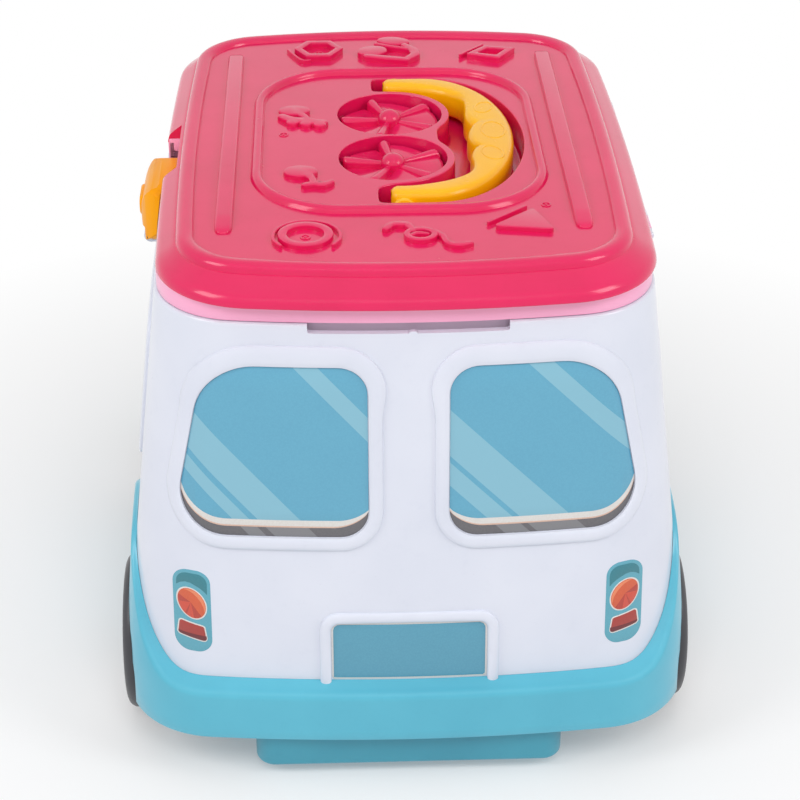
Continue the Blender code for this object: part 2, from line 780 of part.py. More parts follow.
def axle_bearing(name, side, y):
    # Block on the pan's floor with a round hole for the axle
    centre = side * (pan_half_width - pan_wall - gap - bearing_width / 2.0)
    low = pan_foot + pan_wall + gap
    block = rounded([
        (y - bearing_length / 2.0, low, 0.0),
        (y + bearing_length / 2.0, low, 0.0),
        (y + bearing_length / 2.0, low + 8.0 * mm, 0.0),
        (y + axle_radius + 3.0 * mm, plate_level - gap, 0.0),
        (y - axle_radius - 3.0 * mm, plate_level - gap, 0.0),
        (y - bearing_length / 2.0, low + 8.0 * mm, 0.0),
    ])
    bearing = prism(name, block, "X", centre - bearing_width / 2.0, centre + bearing_width / 2.0)
    return cut(bearing, rod("bore", "X", y, wheel_radius, axle_radius + gap, -reach, reach, 10))


# Wheels

axle_half_length = wheel_outer_face - 6.0 * mm
hub_sides = 16


def axle(name, y):
    end = 0.5 * mm
    profile = [(-axle_half_length, axle_radius - end), (-axle_half_length + end, axle_radius),
               (axle_half_length - end, axle_radius), (axle_half_length, axle_radius - end)]
    return turned(name, profile, "X", (y, wheel_radius), 10)


def hub(name, side, y):
    face = wheel_outer_face - 1.0 * mm
    inner = wheel_inner_face + 1.0 * mm
    radius = hub_radius - gap
    profile = [
        (inner, radius), (face, radius), (face, radius - 2.8 * mm), (face - 2.4 * mm, radius - 4.2 * mm),
        (face - 2.4 * mm, 7.6 * mm), (face - 0.4 * mm, 6.4 * mm), (face + 0.6 * mm, 4.0 * mm),
    ]
    wheel = turned(name, profile, "X", (y, wheel_radius), hub_sides, side)
    tip = side * (axle_half_length + gap)
    low, high = sorted((side * inner - side * 5.0 * mm, tip))
    bore = rod("bore", "X", y, wheel_radius, axle_radius + gap / 2.0, low, high, 10)
    dish_low, dish_high = sorted((side * (inner - 5.0 * mm), side * (face - 6.0 * mm)))
    dish = rod("dish", "X", y, wheel_radius, radius - 2.6 * mm, dish_low, dish_high, hub_sides)
    cut(dish, rod("boss", "X", y, wheel_radius, axle_radius + 3.0 * mm, -reach, reach, 10))
    return cut(wheel, dish, bore)


def tyre(name, side, y):
    shoulder = 4.0 * mm
    profile = []
    for i in range(3):
        turn = math.pi / 2.0 * i / 2
        profile.append((wheel_inner_face + shoulder * (1.0 - math.sin(turn)),
                        wheel_radius - shoulder * (1.0 - math.cos(turn))))
    profile = profile[::-1]
    for i in range(3):
        turn = math.pi / 2.0 * i / 2
        profile.append((wheel_outer_face - shoulder * (1.0 - math.sin(turn)),
                        wheel_radius - shoulder * (1.0 - math.cos(turn))))
    ring = turned(name, profile, "X", (y, wheel_radius), 24, side)
    return cut(ring, rod("bore", "X", y, wheel_radius, hub_radius, -reach, reach, hub_sides))


# Lid

lid_half_width = body_half_width + lid_side_overhang
lid_half_length = body_half_length + lid_end_overhang
liner_low = rim_height + gap
liner_top = liner_low + liner_thickness
block_foot = liner_top + gap
pocket_floor = block_foot + pocket_wall
handle_bottom = pocket_floor + pocket_floor_gap
handle_top = handle_bottom + handle_thickness
handle_pivot_z = handle_top - handle_thickness / 2.0
lid_panel = handle_top - handle_proud
lid_foot = lid_panel - lid_crown
lid_underside = lid_panel - lid_wall - 0.2 * mm
fan_floor = lid_panel - fan_well_depth
fan_seat = fan_floor - fan_floor_thickness
fan_spacing = 2.0 * fan_well_radius + fan_wall
collar_radius = fan_well_radius + collar_width
grip_inner_x = handle_bend_x + handle_reach - grip_depth
frame_bead_half_width = handle_bend_x + handle_reach + frame_bead_margin
frame_bead_half_length = handle_half_span + frame_bead_end_margin
rib_spacing = lid_half_width - rib_inset
rib_rear = rib_rear_inset - lid_half_length
rib_front = lid_half_length - rib_front_inset
lid_screw_x = lid_half_width - lid_screw_inset
lid_screw_y = lid_half_length - lid_screw_end_inset

# Inset from the lid's lower edge and height, from the foot up to the panel
lid_profile = [
    (0.0 * mm, 0.0 * mm), (0.3 * mm, 2.6 * mm), (1.8 * mm, 5.6 * mm), (4.4 * mm, 7.8 * mm),
    (8.3 * mm, lid_crown - 1.4 * mm), (10.3 * mm, lid_crown - 1.4 * mm),
    (11.4 * mm, lid_crown + 0.5 * bead_height), (13.7 * mm, lid_crown + bead_height), (17.0 * mm, lid_crown),
]


def lid_ring(inset, z):
    outline = plan(lid_half_width - inset, lid_half_length - inset, lid_side_bow, lid_end_bow,
                   lid_corner - inset)
    return [(x, y, z) for x, y in outline]


def lid_skin(name):
    return loft(name, [lid_ring(inset, lid_foot + rise) for inset, rise in lid_profile])


def fan_places():
    half = fan_spacing / 2.0
    return (("rear", fan_mean_y - half), ("front", fan_mean_y + half))


def handle_outline(out=0.0, lobes=True, root=0.0):
    # Crescent in plan: straight arm ends, then an elliptic grip
    steps = 8
    half_outer = handle_half_span + out
    outer = []
    for i in range(steps + 1):
        turn = math.pi / 2.0 * i / steps
        outer.append((handle_bend_x + (handle_reach + out) * math.sin(turn), half_outer * math.cos(turn)))
    root_x = handle_pivot_x - handle_root - root
    outer = [(root_x, half_outer)] + outer
    half_inner = handle_half_span - handle_arm - out
    inner = []
    lobe_half = 1.5 * finger_pitch
    bend_x = 8.0 * mm
    inner_steps = 5
    span = grip_inner_x - bend_x
    for i in range(inner_steps):
        turn = i / (inner_steps + 0.5)
        y = half_inner - (half_inner - lobe_half) * turn ** 1.6
        x = bend_x + span * (1.0 - ((y - lobe_half) / (half_inner - lobe_half)) ** 1.5) ** 0.75
        inner.append((x, y))
    inner = [(root_x, half_inner)] + inner
    grip = []
    grip_steps = 15
    for i in range(grip_steps + 1):
        y = lobe_half - 2.0 * lobe_half * i / grip_steps
        depth = finger_lobe * abs(math.sin(math.pi * (y + lobe_half) / finger_pitch)) ** 0.6 if lobes else 0.0
        grip.append((grip_inner_x - depth - out, y))
    lower_outer = [(x, -y) for x, y in outer[-2::-1]]
    lower_inner = [(x, -y) for x, y in inner]
    loop = outer + lower_outer + lower_inner + grip[::-1] + inner[::-1]
    return [(x, y + lid_detail_y) for x, y in loop]


def pocket_outline():
    # The crescent of lid floor that the handle lies in, left open to the fans
    steps = 10
    half = handle_half_span + pocket_clearance - 1.0 * mm
    arc = []
    for i in range(steps + 1):
        turn = math.pi / 2.0 * i / steps
        arc.append((handle_bend_x + 2.0 * mm + (handle_reach + pocket_clearance - 1.0 * mm) * math.sin(turn),
                    half * math.cos(turn)))
    root_x = handle_pivot_x - handle_root - pocket_root_clearance
    loop = [(root_x, half)] + arc + [(x, -y) for x, y in arc[-2::-1]] + [(root_x, -half)]
    return [(x, y + lid_detail_y) for x, y in loop]


def pocket_tool(name, low, high):
    tool = prism(name, pocket_outline(), "Z", low, high)
    half_inner = handle_half_span - handle_arm - 1.5 * mm
    keep = box("keep", (-reach, lid_detail_y - half_inner, low - 5.0 * mm),
               (fan_x, lid_detail_y + half_inner, high + 5.0 * mm))
    cut(tool, keep)
    for end, y in fan_places():
        cut(tool, rod("collar", "Z", fan_x, y, collar_radius, low - 5.0 * mm, high + 5.0 * mm, 20))
    waist = box("waist", (fan_x - 1.0 * mm, fan_mean_y - 8.0 * mm, low - 5.0 * mm),
                (fan_x + 17.0 * mm, fan_mean_y + 8.0 * mm, high + 5.0 * mm))
    return cut(tool, waist)


def well_block():
    # The material under the panel that the pocket and the wells are cut into
    half = handle_half_span + pocket_clearance + pocket_wall
    steps = 10
    arc = []
    for i in range(steps + 1):
        turn = math.pi / 2.0 * i / steps
        arc.append((handle_bend_x + 2.0 * mm + (handle_reach + pocket_clearance + pocket_wall) * math.sin(turn),
                    half * math.cos(turn)))
    left = fan_x - fan_well_radius - pocket_wall - 1.0 * mm
    loop = [(left, half)] + arc + [(x, -y) for x, y in arc[-2::-1]] + [(left, -half)]
    outline = [(x, y + lid_detail_y) for x, y in loop]
    block = prism("block", outline, "Z", block_foot, lid_underside + 0.5 * mm)
    # Room under each fan's floor for the head of its axle
    for end, y in fan_places():
        low = fan_seat - 10.0 * mm
        cut(block, rod("axle_room", "Z", fan_x, y, fan_well_radius - 1.0 * mm, low, fan_seat, 12))
    return block


pad_foot = lid_panel - 0.8 * mm     # pads start inside the panel


def rib(x):
    # A long rib on the lid with a bevelled edge
    outline = bar(x, rib_rear, x, rib_front, rib_width, rib_width * 0.45)
    bevel = rib_height * 0.5
    levels = [(pad_foot, 0.0), (lid_panel + rib_height - bevel, 0.0), (lid_panel + rib_height, bevel)]
    return loft("rib", [[(a, b, z) for a, b in rounded(grown(outline, -by), 3)] for z, by in levels])


def raised(name, outline):
    # A low flat pad on the lid
    return prism(name, rounded(outline, 2), "Z", pad_foot, lid_panel + relief_height)


def bar(x0, y0, x1, y1, width, radius):
    # Corners of a straight bar between two points
    start = Vector((x0, y0))
    end = Vector((x1, y1))
    side = (end - start).normalized()
    side = Vector((-side.y, side.x)) * width / 2.0
    return [(*(start + side), radius), (*(start - side), radius), (*(end - side), radius),
            (*(end + side), radius)]


def ngon(x, y, radius, count, turn, corner):
    turns = [math.tau * i / count + turn for i in range(count)]
    return [(x + radius * math.cos(angle), y + radius * math.sin(angle), corner) for angle in turns]


def ellipse(x, y, a, b, turn, count=10):
    points = []
    for i in range(count):
        angle = math.tau * i / count
        u = a * math.cos(angle)
        v = b * math.sin(angle)
        points.append((x + u * math.cos(turn) - v * math.sin(turn), y + u * math.sin(turn) + v * math.cos(turn),
                       0.0))
    return points


def ring_relief(name, corners, width):
    pad = raised(name, corners)
    hole = prism("ring_hole", rounded(grown(corners, -width), 2), "Z", lid_panel, lid_panel + 10.0 * mm)
    return cut(pad, hole)


def lid_reliefs():
    ring_width = 3.6 * mm
    soft = 0.8 * mm
    square_turn = math.pi / 4.0 - 0.1
    front = lid_half_length - 33.4 * mm
    rear = 39.9 * mm - lid_half_length
    triangle = [(54.0 * mm, rear + 21.5 * mm, soft), (58.0 * mm, rear - 2.5 * mm, soft),
                (33.0 * mm, rear + 0.5 * mm, soft)]
    return [
        ring_relief("hexagon", ngon(-30.0 * mm, front, 11.5 * mm, 6, 0.0, 0.0), ring_width),
        ring_relief("square", ngon(46.0 * mm, front - 5.5 * mm, 13.5 * mm, 4, square_turn, soft), ring_width),
        ring_relief("circle", ellipse(-37.0 * mm, rear, 10.5 * mm, 10.5 * mm, 0.0, 14), ring_width),
        raised("triangle", triangle),
        raised("note_head_a", ellipse(-40.0 * mm, 29.0 * mm, 9.0 * mm, 6.5 * mm, -0.2)),
        raised("note_stem_a", bar(-45.0 * mm, 21.0 * mm, -28.0 * mm, 15.0 * mm, 5.0 * mm, 2.0 * mm)),
        raised("note_head_b", ellipse(-38.0 * mm, -30.0 * mm, 9.0 * mm, 6.0 * mm, -0.2)),
        raised("note_stem_b", bar(-44.0 * mm, -36.5 * mm, -26.0 * mm, -44.0 * mm, 4.0 * mm, 1.6 * mm)),
        raised("note_head_c", ellipse(-6.0 * mm, front - 0.5 * mm, 8.5 * mm, 8.0 * mm, -0.3)),
        raised("note_head_d", ellipse(2.0 * mm, front + 11.5 * mm, 8.5 * mm, 7.0 * mm, -0.3)),
        raised("note_beam", bar(-6.0 * mm, front - 10.0 * mm, 13.5 * mm, front - 9.5 * mm, 7.0 * mm, 1.5 * mm)),
        raised("note_post", bar(13.0 * mm, front - 11.0 * mm, 15.0 * mm, front + 4.0 * mm, 5.0 * mm, 1.5 * mm)),
        raised("clef_bowl", ellipse(5.0 * mm, rear - 0.5 * mm, 9.0 * mm, 8.0 * mm, 0.0)),
        raised("clef_tail", bar(8.0 * mm, rear - 5.5 * mm, 24.0 * mm, rear - 9.5 * mm, 4.0 * mm, 1.5 * mm)),
        raised("clef_hook", bar(-10.0 * mm, rear + 8.5 * mm, 2.0 * mm, rear + 5.5 * mm, 4.0 * mm, 1.8 * mm)),
    ]


notch_x = latch_notch_depth - lid_half_width
arm_low = rim_height + gap


def lid_notch_bounds(grow):
    half = latch_width / 2.0 + latch_notch_play + grow
    return latch_y - half, latch_y + half


def lid_shell():
    shell = lid_skin("lid_shell")
    hollow = [lid_ring(inset + lid_wall, lid_foot + rise) for inset, rise in
              ((0.0, -5.0 * mm), (0.0, 1.0 * mm), (2.0 * mm, 4.2 * mm), (8.0 * mm, 6.4 * mm))]
    hollow.append(lid_ring(14.0 * mm + lid_wall, lid_underside))
    cut(shell, loft("hollow", hollow))
    join(shell, well_block())
    notch_low, notch_high = lid_notch_bounds(0.0)
    wall_low, wall_high = lid_notch_bounds(2.2 * mm)
    side_block = box("side_block", (-reach, wall_low, lid_foot), (notch_x + 2.2 * mm, wall_high, reach))
    join(shell, common(side_block, lid_skin("skin")))
    cut(shell, box("side_notch", (-reach, notch_low, 0.0), (notch_x, notch_high, reach)))
    half_bead = frame_bead_half_width
    bead = [(-half_bead, lid_detail_y - frame_bead_half_length, frame_bead_corner),
            (half_bead, lid_detail_y - frame_bead_half_length, frame_bead_corner),
            (half_bead, lid_detail_y + frame_bead_half_length, frame_bead_corner),
            (-half_bead, lid_detail_y + frame_bead_half_length, frame_bead_corner)]
    sections = []
    shape = [(0.0, -0.8 * mm), (0.15 * frame_bead_width, 0.7 * frame_bead_height),
             (0.5 * frame_bead_width, frame_bead_height), (0.85 * frame_bead_width, 0.7 * frame_bead_height),
             (frame_bead_width, -0.8 * mm)]
    outlines = [rounded(grown(bead, -inset), 6) for inset, rise in shape]
    for i in range(len(outlines[0])):
        sections.append([(*outlines[k][i], lid_panel + shape[k][1]) for k in range(len(shape))])
    join(shell, hoop("frame_bead", sections))
    for side in (-1, 1):
        join(shell, rib(side * rib_spacing))
    for pad in lid_reliefs():
        join(shell, pad)
    cut(shell, pocket_tool("pocket", pocket_floor, lid_panel + 10.0 * mm))
    for end, y in fan_places():
        cut(shell, rod("fan_well", "Z", fan_x, y, fan_well_radius, fan_floor, lid_panel + 10.0 * mm, 24))
        cut(shell, rod("shaft_hole", "Z", fan_x, y, fan_shaft_radius + gap, 0.0, reach, 10))
    reach_y = handle_half_span + pocket_clearance + 6.0 * mm
    for side in (-1, 1):
        low, high = sorted((lid_detail_y + side * (handle_half_span - 1.0 * mm), lid_detail_y + side * reach_y))
        cut(shell, rod("pin_hole", "Y", handle_pivot_x, handle_pivot_z, handle_pin_radius + gap, low, high, 8))
    for x, y in lid_screw_places():
        boss_top = lid_underside + 0.5 * mm
        join(shell, rod("boss", "Z", x, y, boss_radius - 1.0 * mm, liner_top + gap, boss_top, 8))
        bore_top = lid_underside - 2.0 * mm
        cut(shell, rod("hole", "Z", x, y, screw_radius + gap, liner_top - 5.0 * mm, bore_top, 8))
    return shell


def lid_screw_places():
    return [(sx * lid_screw_x, sy * lid_screw_y) for sx in (-1, 1) for sy in (-1, 0, 1)
            if not (sx < 0 and sy == 0)]


def lid_liner():
    rings = [lid_ring(liner_inset, z) for z in (liner_low, lid_foot + liner_rim_lap)]
    liner = loft("lid_liner", rings)
    inner = liner_inset + liner_rim_wall
    cut(liner, loft("liner_room", [lid_ring(inner, z) for z in (liner_top, lid_panel)]))
    notch_low, notch_high = lid_notch_bounds(-0.4 * mm)
    wall_low = liner_low + liner_thickness / 2.0
    wall = box("notch_wall", (-reach, notch_low - liner_rim_wall, wall_low), (notch_x + liner_rim_wall,
               notch_high + liner_rim_wall, lid_foot))
    middle = liner_inset + liner_rim_wall / 2.0
    join(liner, common(wall, loft("outer", [lid_ring(middle, z) for z in (liner_low, lid_panel)])))
    cut(liner, box("side_notch", (-reach, notch_low, 0.0), (notch_x, notch_high, reach)))
    cut(liner, box("rim_notch", (-reach, notch_low - 6.0 * mm, lid_foot - gap), (notch_x + 6.0 * mm,
                   notch_high + 6.0 * mm, reach)))
    for y in hinge_places():
        middle = hinge_length / 2.0 - hinge_lug - gap
        lug = knuckle("hinge_knuckle", hinge_x, hinge_z, hinge_knuckle, y - middle, y + middle,
                      hinge_x - 6.0 * mm, liner_low, liner_top + 1.0 * mm)
        join(liner, lug)
        for low in (y - hinge_length / 2.0 - gap, y + hinge_length / 2.0 - hinge_lug - gap):
            cut(liner, box("clear", (hinge_x - hinge_knuckle - gap, low, 0.0),
                           (reach, low + hinge_lug + 2.0 * gap, hinge_z + hinge_knuckle + gap)))
        cut(liner, rod("bore", "Y", hinge_x, hinge_z, hinge_pin_radius + gap, y - hinge_length,
                       y + hinge_length, 8))
    for end, y in fan_places():
        cut(liner, rod("fan_access", "Z", fan_x, y, 5.0 * mm, 0.0, reach, 8))
    for x, y in lid_screw_places():
        cut(liner, rod("hole", "Z", x, y, screw_radius + gap, 0.0, reach, 8))
    return liner


def handle():
    edge = 2.2 * mm
    levels = [(handle_bottom, -edge), (handle_bottom + edge, 0.0), (handle_top - edge, 0.0),
              (handle_top - edge * 0.3, -edge * 0.35), (handle_top, -edge)]
    rings = []
    for z, out in levels:
        rings.append([(x, y, z) for x, y in handle_outline(out, True, out)])
    grip = loft("handle", rings)
    for side in (-1, 1):
        low, high = sorted((lid_detail_y + side * (handle_half_span - 3.0 * mm),
                            lid_detail_y + side * (handle_half_span + pocket_clearance - 1.0 * mm - gap)))
        join(grip, rod("boss", "Y", handle_pivot_x, handle_pivot_z, handle_boss_radius, low, high, 10))
        outer = handle_half_span + 5.0 * mm
        inner = handle_half_span - handle_arm * 0.75
        low, high = sorted((lid_detail_y + side * inner, lid_detail_y + side * outer))
        cut(grip, rod("pin_hole", "Y", handle_pivot_x, handle_pivot_z, handle_pin_radius + gap, low, high, 8))
    return grip


def handle_pin(name, side):
    inner = handle_half_span - handle_arm * 0.75 + gap
    outer = handle_half_span + pocket_clearance + 3.5 * mm
    low, high = sorted((lid_detail_y + side * inner, lid_detail_y + side * outer))
    return rod(name, "Y", handle_pivot_x, handle_pivot_z, handle_pin_radius, low, high, 8)


def fan(name, y):
    radius = fan_well_radius - fan_clearance
    low = fan_floor + 1.6 * mm
    high = lid_panel - 0.8 * mm
    hub_low = fan_floor + gap
    dome = [(hub_low, fan_hub_radius), (lid_panel - 1.5 * mm, fan_hub_radius)]
    for i in range(1, 4):
        turn = math.pi / 2.0 * i / 4
        dome.append((lid_panel - 1.5 * mm + 3.2 * mm * math.sin(turn), fan_hub_radius * math.cos(turn)))
    rotor = turned(name, dome, "Z", (fan_x, y), 12)
    thickness = 1.8 * mm
    for blade in range(fan_blades):
        start = math.tau * blade / fan_blades
        sweep = math.tau / fan_blades * 0.86
        steps = 3
        columns = []
        for i in range(steps + 1):
            turn = start + sweep * i / steps
            rise = high - (high - low - thickness) * i / steps
            column = []
            for distance in (fan_hub_radius * 0.6, radius):
                px = fan_x + distance * math.cos(turn)
                py = y + distance * math.sin(turn)
                column.append((px, py, rise))
                column.append((px, py, rise - thickness))
            inner_top, inner_low, outer_top, outer_low = column
            columns.append([inner_low, outer_low, outer_top, inner_top])
        join(rotor, loft("blade", columns))
    return cut(rotor, rod("bore", "Z", fan_x, y, fan_shaft_radius + gap / 2.0, 0.0, lid_panel - 2.0 * mm, 10))


def fan_axle(name, y):
    head_top = fan_seat - gap
    head_low = liner_top + gap
    profile = [(head_low, 3.6 * mm), (head_top, 3.6 * mm), (head_top + 0.01 * mm, fan_shaft_radius),
               (lid_panel - 2.0 * mm - gap, fan_shaft_radius)]
    return turned(name, profile, "Z", (fan_x, y), 10)


def latch():
    # Section in X and Z: knuckle, plate with a bulging face, arm over the rim
    inner_low = latch_pivot_x + latch_knuckle
    rim_x = -body_half_width - 2.0 * gap
    outer = latch_pivot_x - latch_plate * 0.55
    top = arm_low + latch_arm_thickness
    arm_end = notch_x - 2.0 * gap
    outline = [
        (latch_pivot_x - 1.2 * mm, latch_pivot_z - latch_knuckle),
        (latch_pivot_x + 1.2 * mm, latch_pivot_z - latch_knuckle),
        (inner_low - 0.3 * mm, latch_pivot_z - 1.0 * mm),
        (inner_low - 0.2 * mm, latch_pivot_z + 2.0 * mm),
        (rim_x - 0.6 * mm, rim_height - 2.0 * mm),
        (rim_x, arm_low),
        (arm_end, arm_low),
        (arm_end, top - 0.6 * mm),
        (arm_end - 0.6 * mm, top),
        (rim_x - 3.5 * mm, top),
        (outer + 1.2 * mm, top - 2.6 * mm),
        (outer, top - 7.0 * mm),
        (outer - 0.4 * mm, latch_pivot_z + 9.0 * mm),
        (outer + 0.2 * mm, latch_pivot_z + 2.0 * mm),
        (outer + 1.4 * mm, latch_pivot_z - 1.6 * mm),
    ]
    low = latch_y - latch_width / 2.0
    high = latch_y + latch_width / 2.0
    clip = prism("latch", outline, "Y", low, high)
    boss_half = latch_width * 0.32
    boss_low = latch_pivot_z + 5.0 * mm
    boss = rounded([(latch_y - boss_half, boss_low, 3.0 * mm), (latch_y + boss_half, boss_low, 3.0 * mm),
                    (latch_y + boss_half, boss_low + 12.0 * mm, 3.0 * mm),
                    (latch_y - boss_half, boss_low + 12.0 * mm, 3.0 * mm)], 3)
    join(clip, prism("boss", boss, "X", outer - 1.6 * mm, outer + 2.0 * mm))
    corner = 5.0 * mm
    frame = rounded([(low, latch_pivot_z - 10.0 * mm, 0.0), (high, latch_pivot_z - 10.0 * mm, 0.0),
                     (high, top + 0.1 * mm, corner), (low, top + 0.1 * mm, corner)], 4)
    common(clip, prism("frame", frame, "X", -reach, 0.0))
    for lug_y in (latch_y - latch_lug_offset, latch_y + latch_lug_offset):
        half = latch_lug_width / 2.0 + gap
        room = box("room", (latch_pivot_x - latch_knuckle - gap, lug_y - half, 0.0),
                   (0.0, lug_y + half, latch_pivot_z + latch_knuckle + 1.2 * mm))
        cut(clip, room)
    return cut(clip, rod("bore", "Y", latch_pivot_x, latch_pivot_z, latch_pin_radius + gap, -reach, reach, 8))


def screw(name, x, y, head_low, head_high, tip):
    # Head below, shank up to the tip
    profile = [(head_low, screw_head_radius * 0.8), (head_low + 0.5 * mm, screw_head_radius),
               (head_high, screw_head_radius), (head_high + 0.01 * mm, screw_radius - 0.1 * mm),
               (tip - 1.0 * mm, screw_radius - 0.1 * mm), (tip, 0.6 * mm)]
    return turned(name, profile, "Z", (x, y), 8)


def finish(thing, material):
    thing.data.materials.clear()
    thing.data.materials.append(material)
    for face in thing.data.polygons:
        face.material_index = 0
    thing.data.shade_smooth()
    thing.data.set_sharp_from_angle(angle=math.radians(35.0))
    return thing


def on_axis(thing, point):
    # Put a moving piece's origin on its joint
    offset = Vector(point)
    thing.data.transform(Matrix.Translation(-offset))
    thing.location = offset
    return thing


prints = all_prints()

finish(body_shell(), white_plastic)
for item in prints:
    finish(item.pane(), item.material)
finish(chassis(), turquoise_plastic)
finish(floor_pan(), deep_turquoise_plastic)
for end, name, side, y in wheel_places():
    finish(axle_bearing(f"axle_bearing_{end}_{name}", side, y), deep_turquoise_plastic)
    spindle = (0.0, y, wheel_radius)
    finish(on_axis(hub(f"hub_{end}_{name}", side, y), spindle), hub_plastic)
    finish(on_axis(tyre(f"tyre_{end}_{name}", side, y), spindle), tyre_plastic)
for end, y in (("rear", -wheel_half_base), ("front", wheel_half_base)):
    finish(on_axis(axle(f"axle_{end}", y), (0.0, y, wheel_radius)), steel)
for number, (x, y) in enumerate(body_screw_places(), 1):
    head_high = plate_level - gap
    head_low = head_high - screw_head_height
    finish(screw(f"body_screw_{number}", x, y, head_low, head_high, body_foot + body_screw_depth), steel)
for number, (x, y) in enumerate(pan_screw_places(), 1):
    head_low = pan_foot + gap
    head_high = head_low + screw_head_height
    finish(screw(f"pan_screw_{number}", x, y, head_low, head_high, pan_foot + pan_screw_length), steel)

lid_pivot = (hinge_x, 0.0, hinge_z)
finish(on_axis(lid_shell(), lid_pivot), crimson_plastic)
finish(on_axis(lid_liner(), lid_pivot), pink_plastic)
lid_screw_tip = lid_underside - 2.6 * mm
for number, (x, y) in enumerate(lid_screw_places(), 1):
    head_high = liner_low - gap
    piece = screw(f"lid_screw_{number}", x, y, head_high - screw_head_height, head_high, lid_screw_tip)
    finish(on_axis(piece, lid_pivot), steel)
for end, y in (("rear", -hinge_y), ("front", hinge_y)):
    half = hinge_length / 2.0
    finish(rod(f"hinge_pin_{end}", "Y", hinge_x, hinge_z, hinge_pin_radius, y - half, y + half, 8), steel)

handle_pivot = (handle_pivot_x, lid_detail_y, handle_pivot_z)
finish(on_axis(handle(), handle_pivot), yellow_plastic)
for end, side in (("rear", -1), ("front", 1)):
    finish(on_axis(handle_pin(f"handle_pin_{end}", side), handle_pivot), steel)
for end, y in fan_places():
    spindle = (fan_x, y, fan_floor)
    finish(on_axis(fan(f"fan_{end}", y), spindle), crimson_plastic)
    finish(on_axis(fan_axle(f"fan_axle_{end}", y), spindle), steel)

latch_pivot = (latch_pivot_x, latch_y, latch_pivot_z)
finish(on_axis(latch(), latch_pivot), yellow_plastic)
pin_half = latch_width / 2.0 - 1.0 * mm
latch_pin = rod("latch_pin", "Y", latch_pivot_x, latch_pivot_z, latch_pin_radius, latch_y - pin_half,
                latch_y + pin_half, 8)
finish(latch_pin, steel)
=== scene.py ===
import math

import bmesh
import bpy
from mathutils import Matrix, Vector


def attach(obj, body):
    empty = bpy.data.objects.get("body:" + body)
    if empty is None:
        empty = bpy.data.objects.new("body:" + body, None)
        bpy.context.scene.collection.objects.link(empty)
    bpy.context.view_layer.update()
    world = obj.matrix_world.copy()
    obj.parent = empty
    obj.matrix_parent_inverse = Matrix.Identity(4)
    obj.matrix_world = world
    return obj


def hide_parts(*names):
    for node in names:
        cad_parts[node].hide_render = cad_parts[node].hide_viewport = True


# Lengths are in millimetres; meshes are in metres
mm = 0.001

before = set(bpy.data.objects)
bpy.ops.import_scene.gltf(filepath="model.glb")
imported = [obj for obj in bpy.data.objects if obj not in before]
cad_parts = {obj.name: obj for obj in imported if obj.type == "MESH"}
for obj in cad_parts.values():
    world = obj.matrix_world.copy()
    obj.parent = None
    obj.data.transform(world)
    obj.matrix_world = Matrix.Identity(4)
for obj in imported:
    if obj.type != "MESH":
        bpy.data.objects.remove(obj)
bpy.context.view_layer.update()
print("frame loaded")


# Selecting and finishing

def deselectAll():
    active = bpy.context.view_layer.objects.active
    if active and active.mode != "OBJECT":
        bpy.ops.object.mode_set(mode="OBJECT")
    bpy.ops.object.select_all(action="DESELECT")


def takeUp(piece):
    # Makes a piece the only selected one, and the active one
    deselectAll()
    piece.select_set(True)
    bpy.context.view_layer.objects.active = piece
    return piece


def editMesh(piece):
    takeUp(piece)
    bpy.ops.object.mode_set(mode="EDIT")
    return bmesh.from_edit_mesh(piece.data)


def leaveEdit(piece):
    bmesh.update_edit_mesh(piece.data)
    bpy.ops.object.mode_set(mode="OBJECT")
    return piece


def fixNormals(piece):
    editMesh(piece)
    bpy.ops.mesh.select_all(action="SELECT")
    bpy.ops.mesh.remove_doubles(threshold=0.00001)
    bpy.ops.mesh.normals_make_consistent(inside=False)
    return leaveEdit(piece)


def smooth(piece, degrees=32):
    takeUp(piece)
    bpy.ops.object.shade_smooth_by_angle(angle=math.radians(degrees))
    return piece


def joinPieces(pieces, name):
    takeUp(pieces[0])
    for piece in pieces[1:]:
        piece.select_set(True)
    bpy.ops.object.join()
    pieces[0].name = name
    pieces[0].data.name = name
    return pieces[0]


def applyAll(piece):
    takeUp(piece)
    for modifier in list(piece.modifiers):
        bpy.ops.object.modifier_apply(modifier=modifier.name)
    return piece


def combine(piece, *tools, operation="DIFFERENCE"):
    # Exact Boolean with tools that are used up
    for tool in tools:
        modifier = piece.modifiers.new("combine", "BOOLEAN")
        modifier.operation = operation
        modifier.solver = "EXACT"
        modifier.object = tool
        applyAll(piece)
        bpy.data.objects.remove(tool)
    return piece


def bevelWhere(piece, chosen, width, segments=3, sharp=40.0):
    # Rounds the sharp edges whose two ends both pass the test
    shape = editMesh(piece)
    bpy.ops.mesh.select_all(action="DESELECT")
    bpy.ops.mesh.select_mode(type="EDGE")
    for edge in shape.edges:
        if len(edge.link_faces) == 2 and math.degrees(edge.calc_face_angle(0.0)) > sharp:
            if all(chosen(vertex.co / mm) for vertex in edge.verts):
                edge.select_set(True)
    bmesh.update_edit_mesh(piece.data)
    bpy.ops.mesh.bevel(offset=width * mm, segments=segments, clamp_overlap=True)
    bpy.ops.mesh.select_mode(type="VERT")
    return leaveEdit(piece)


# Basic forms

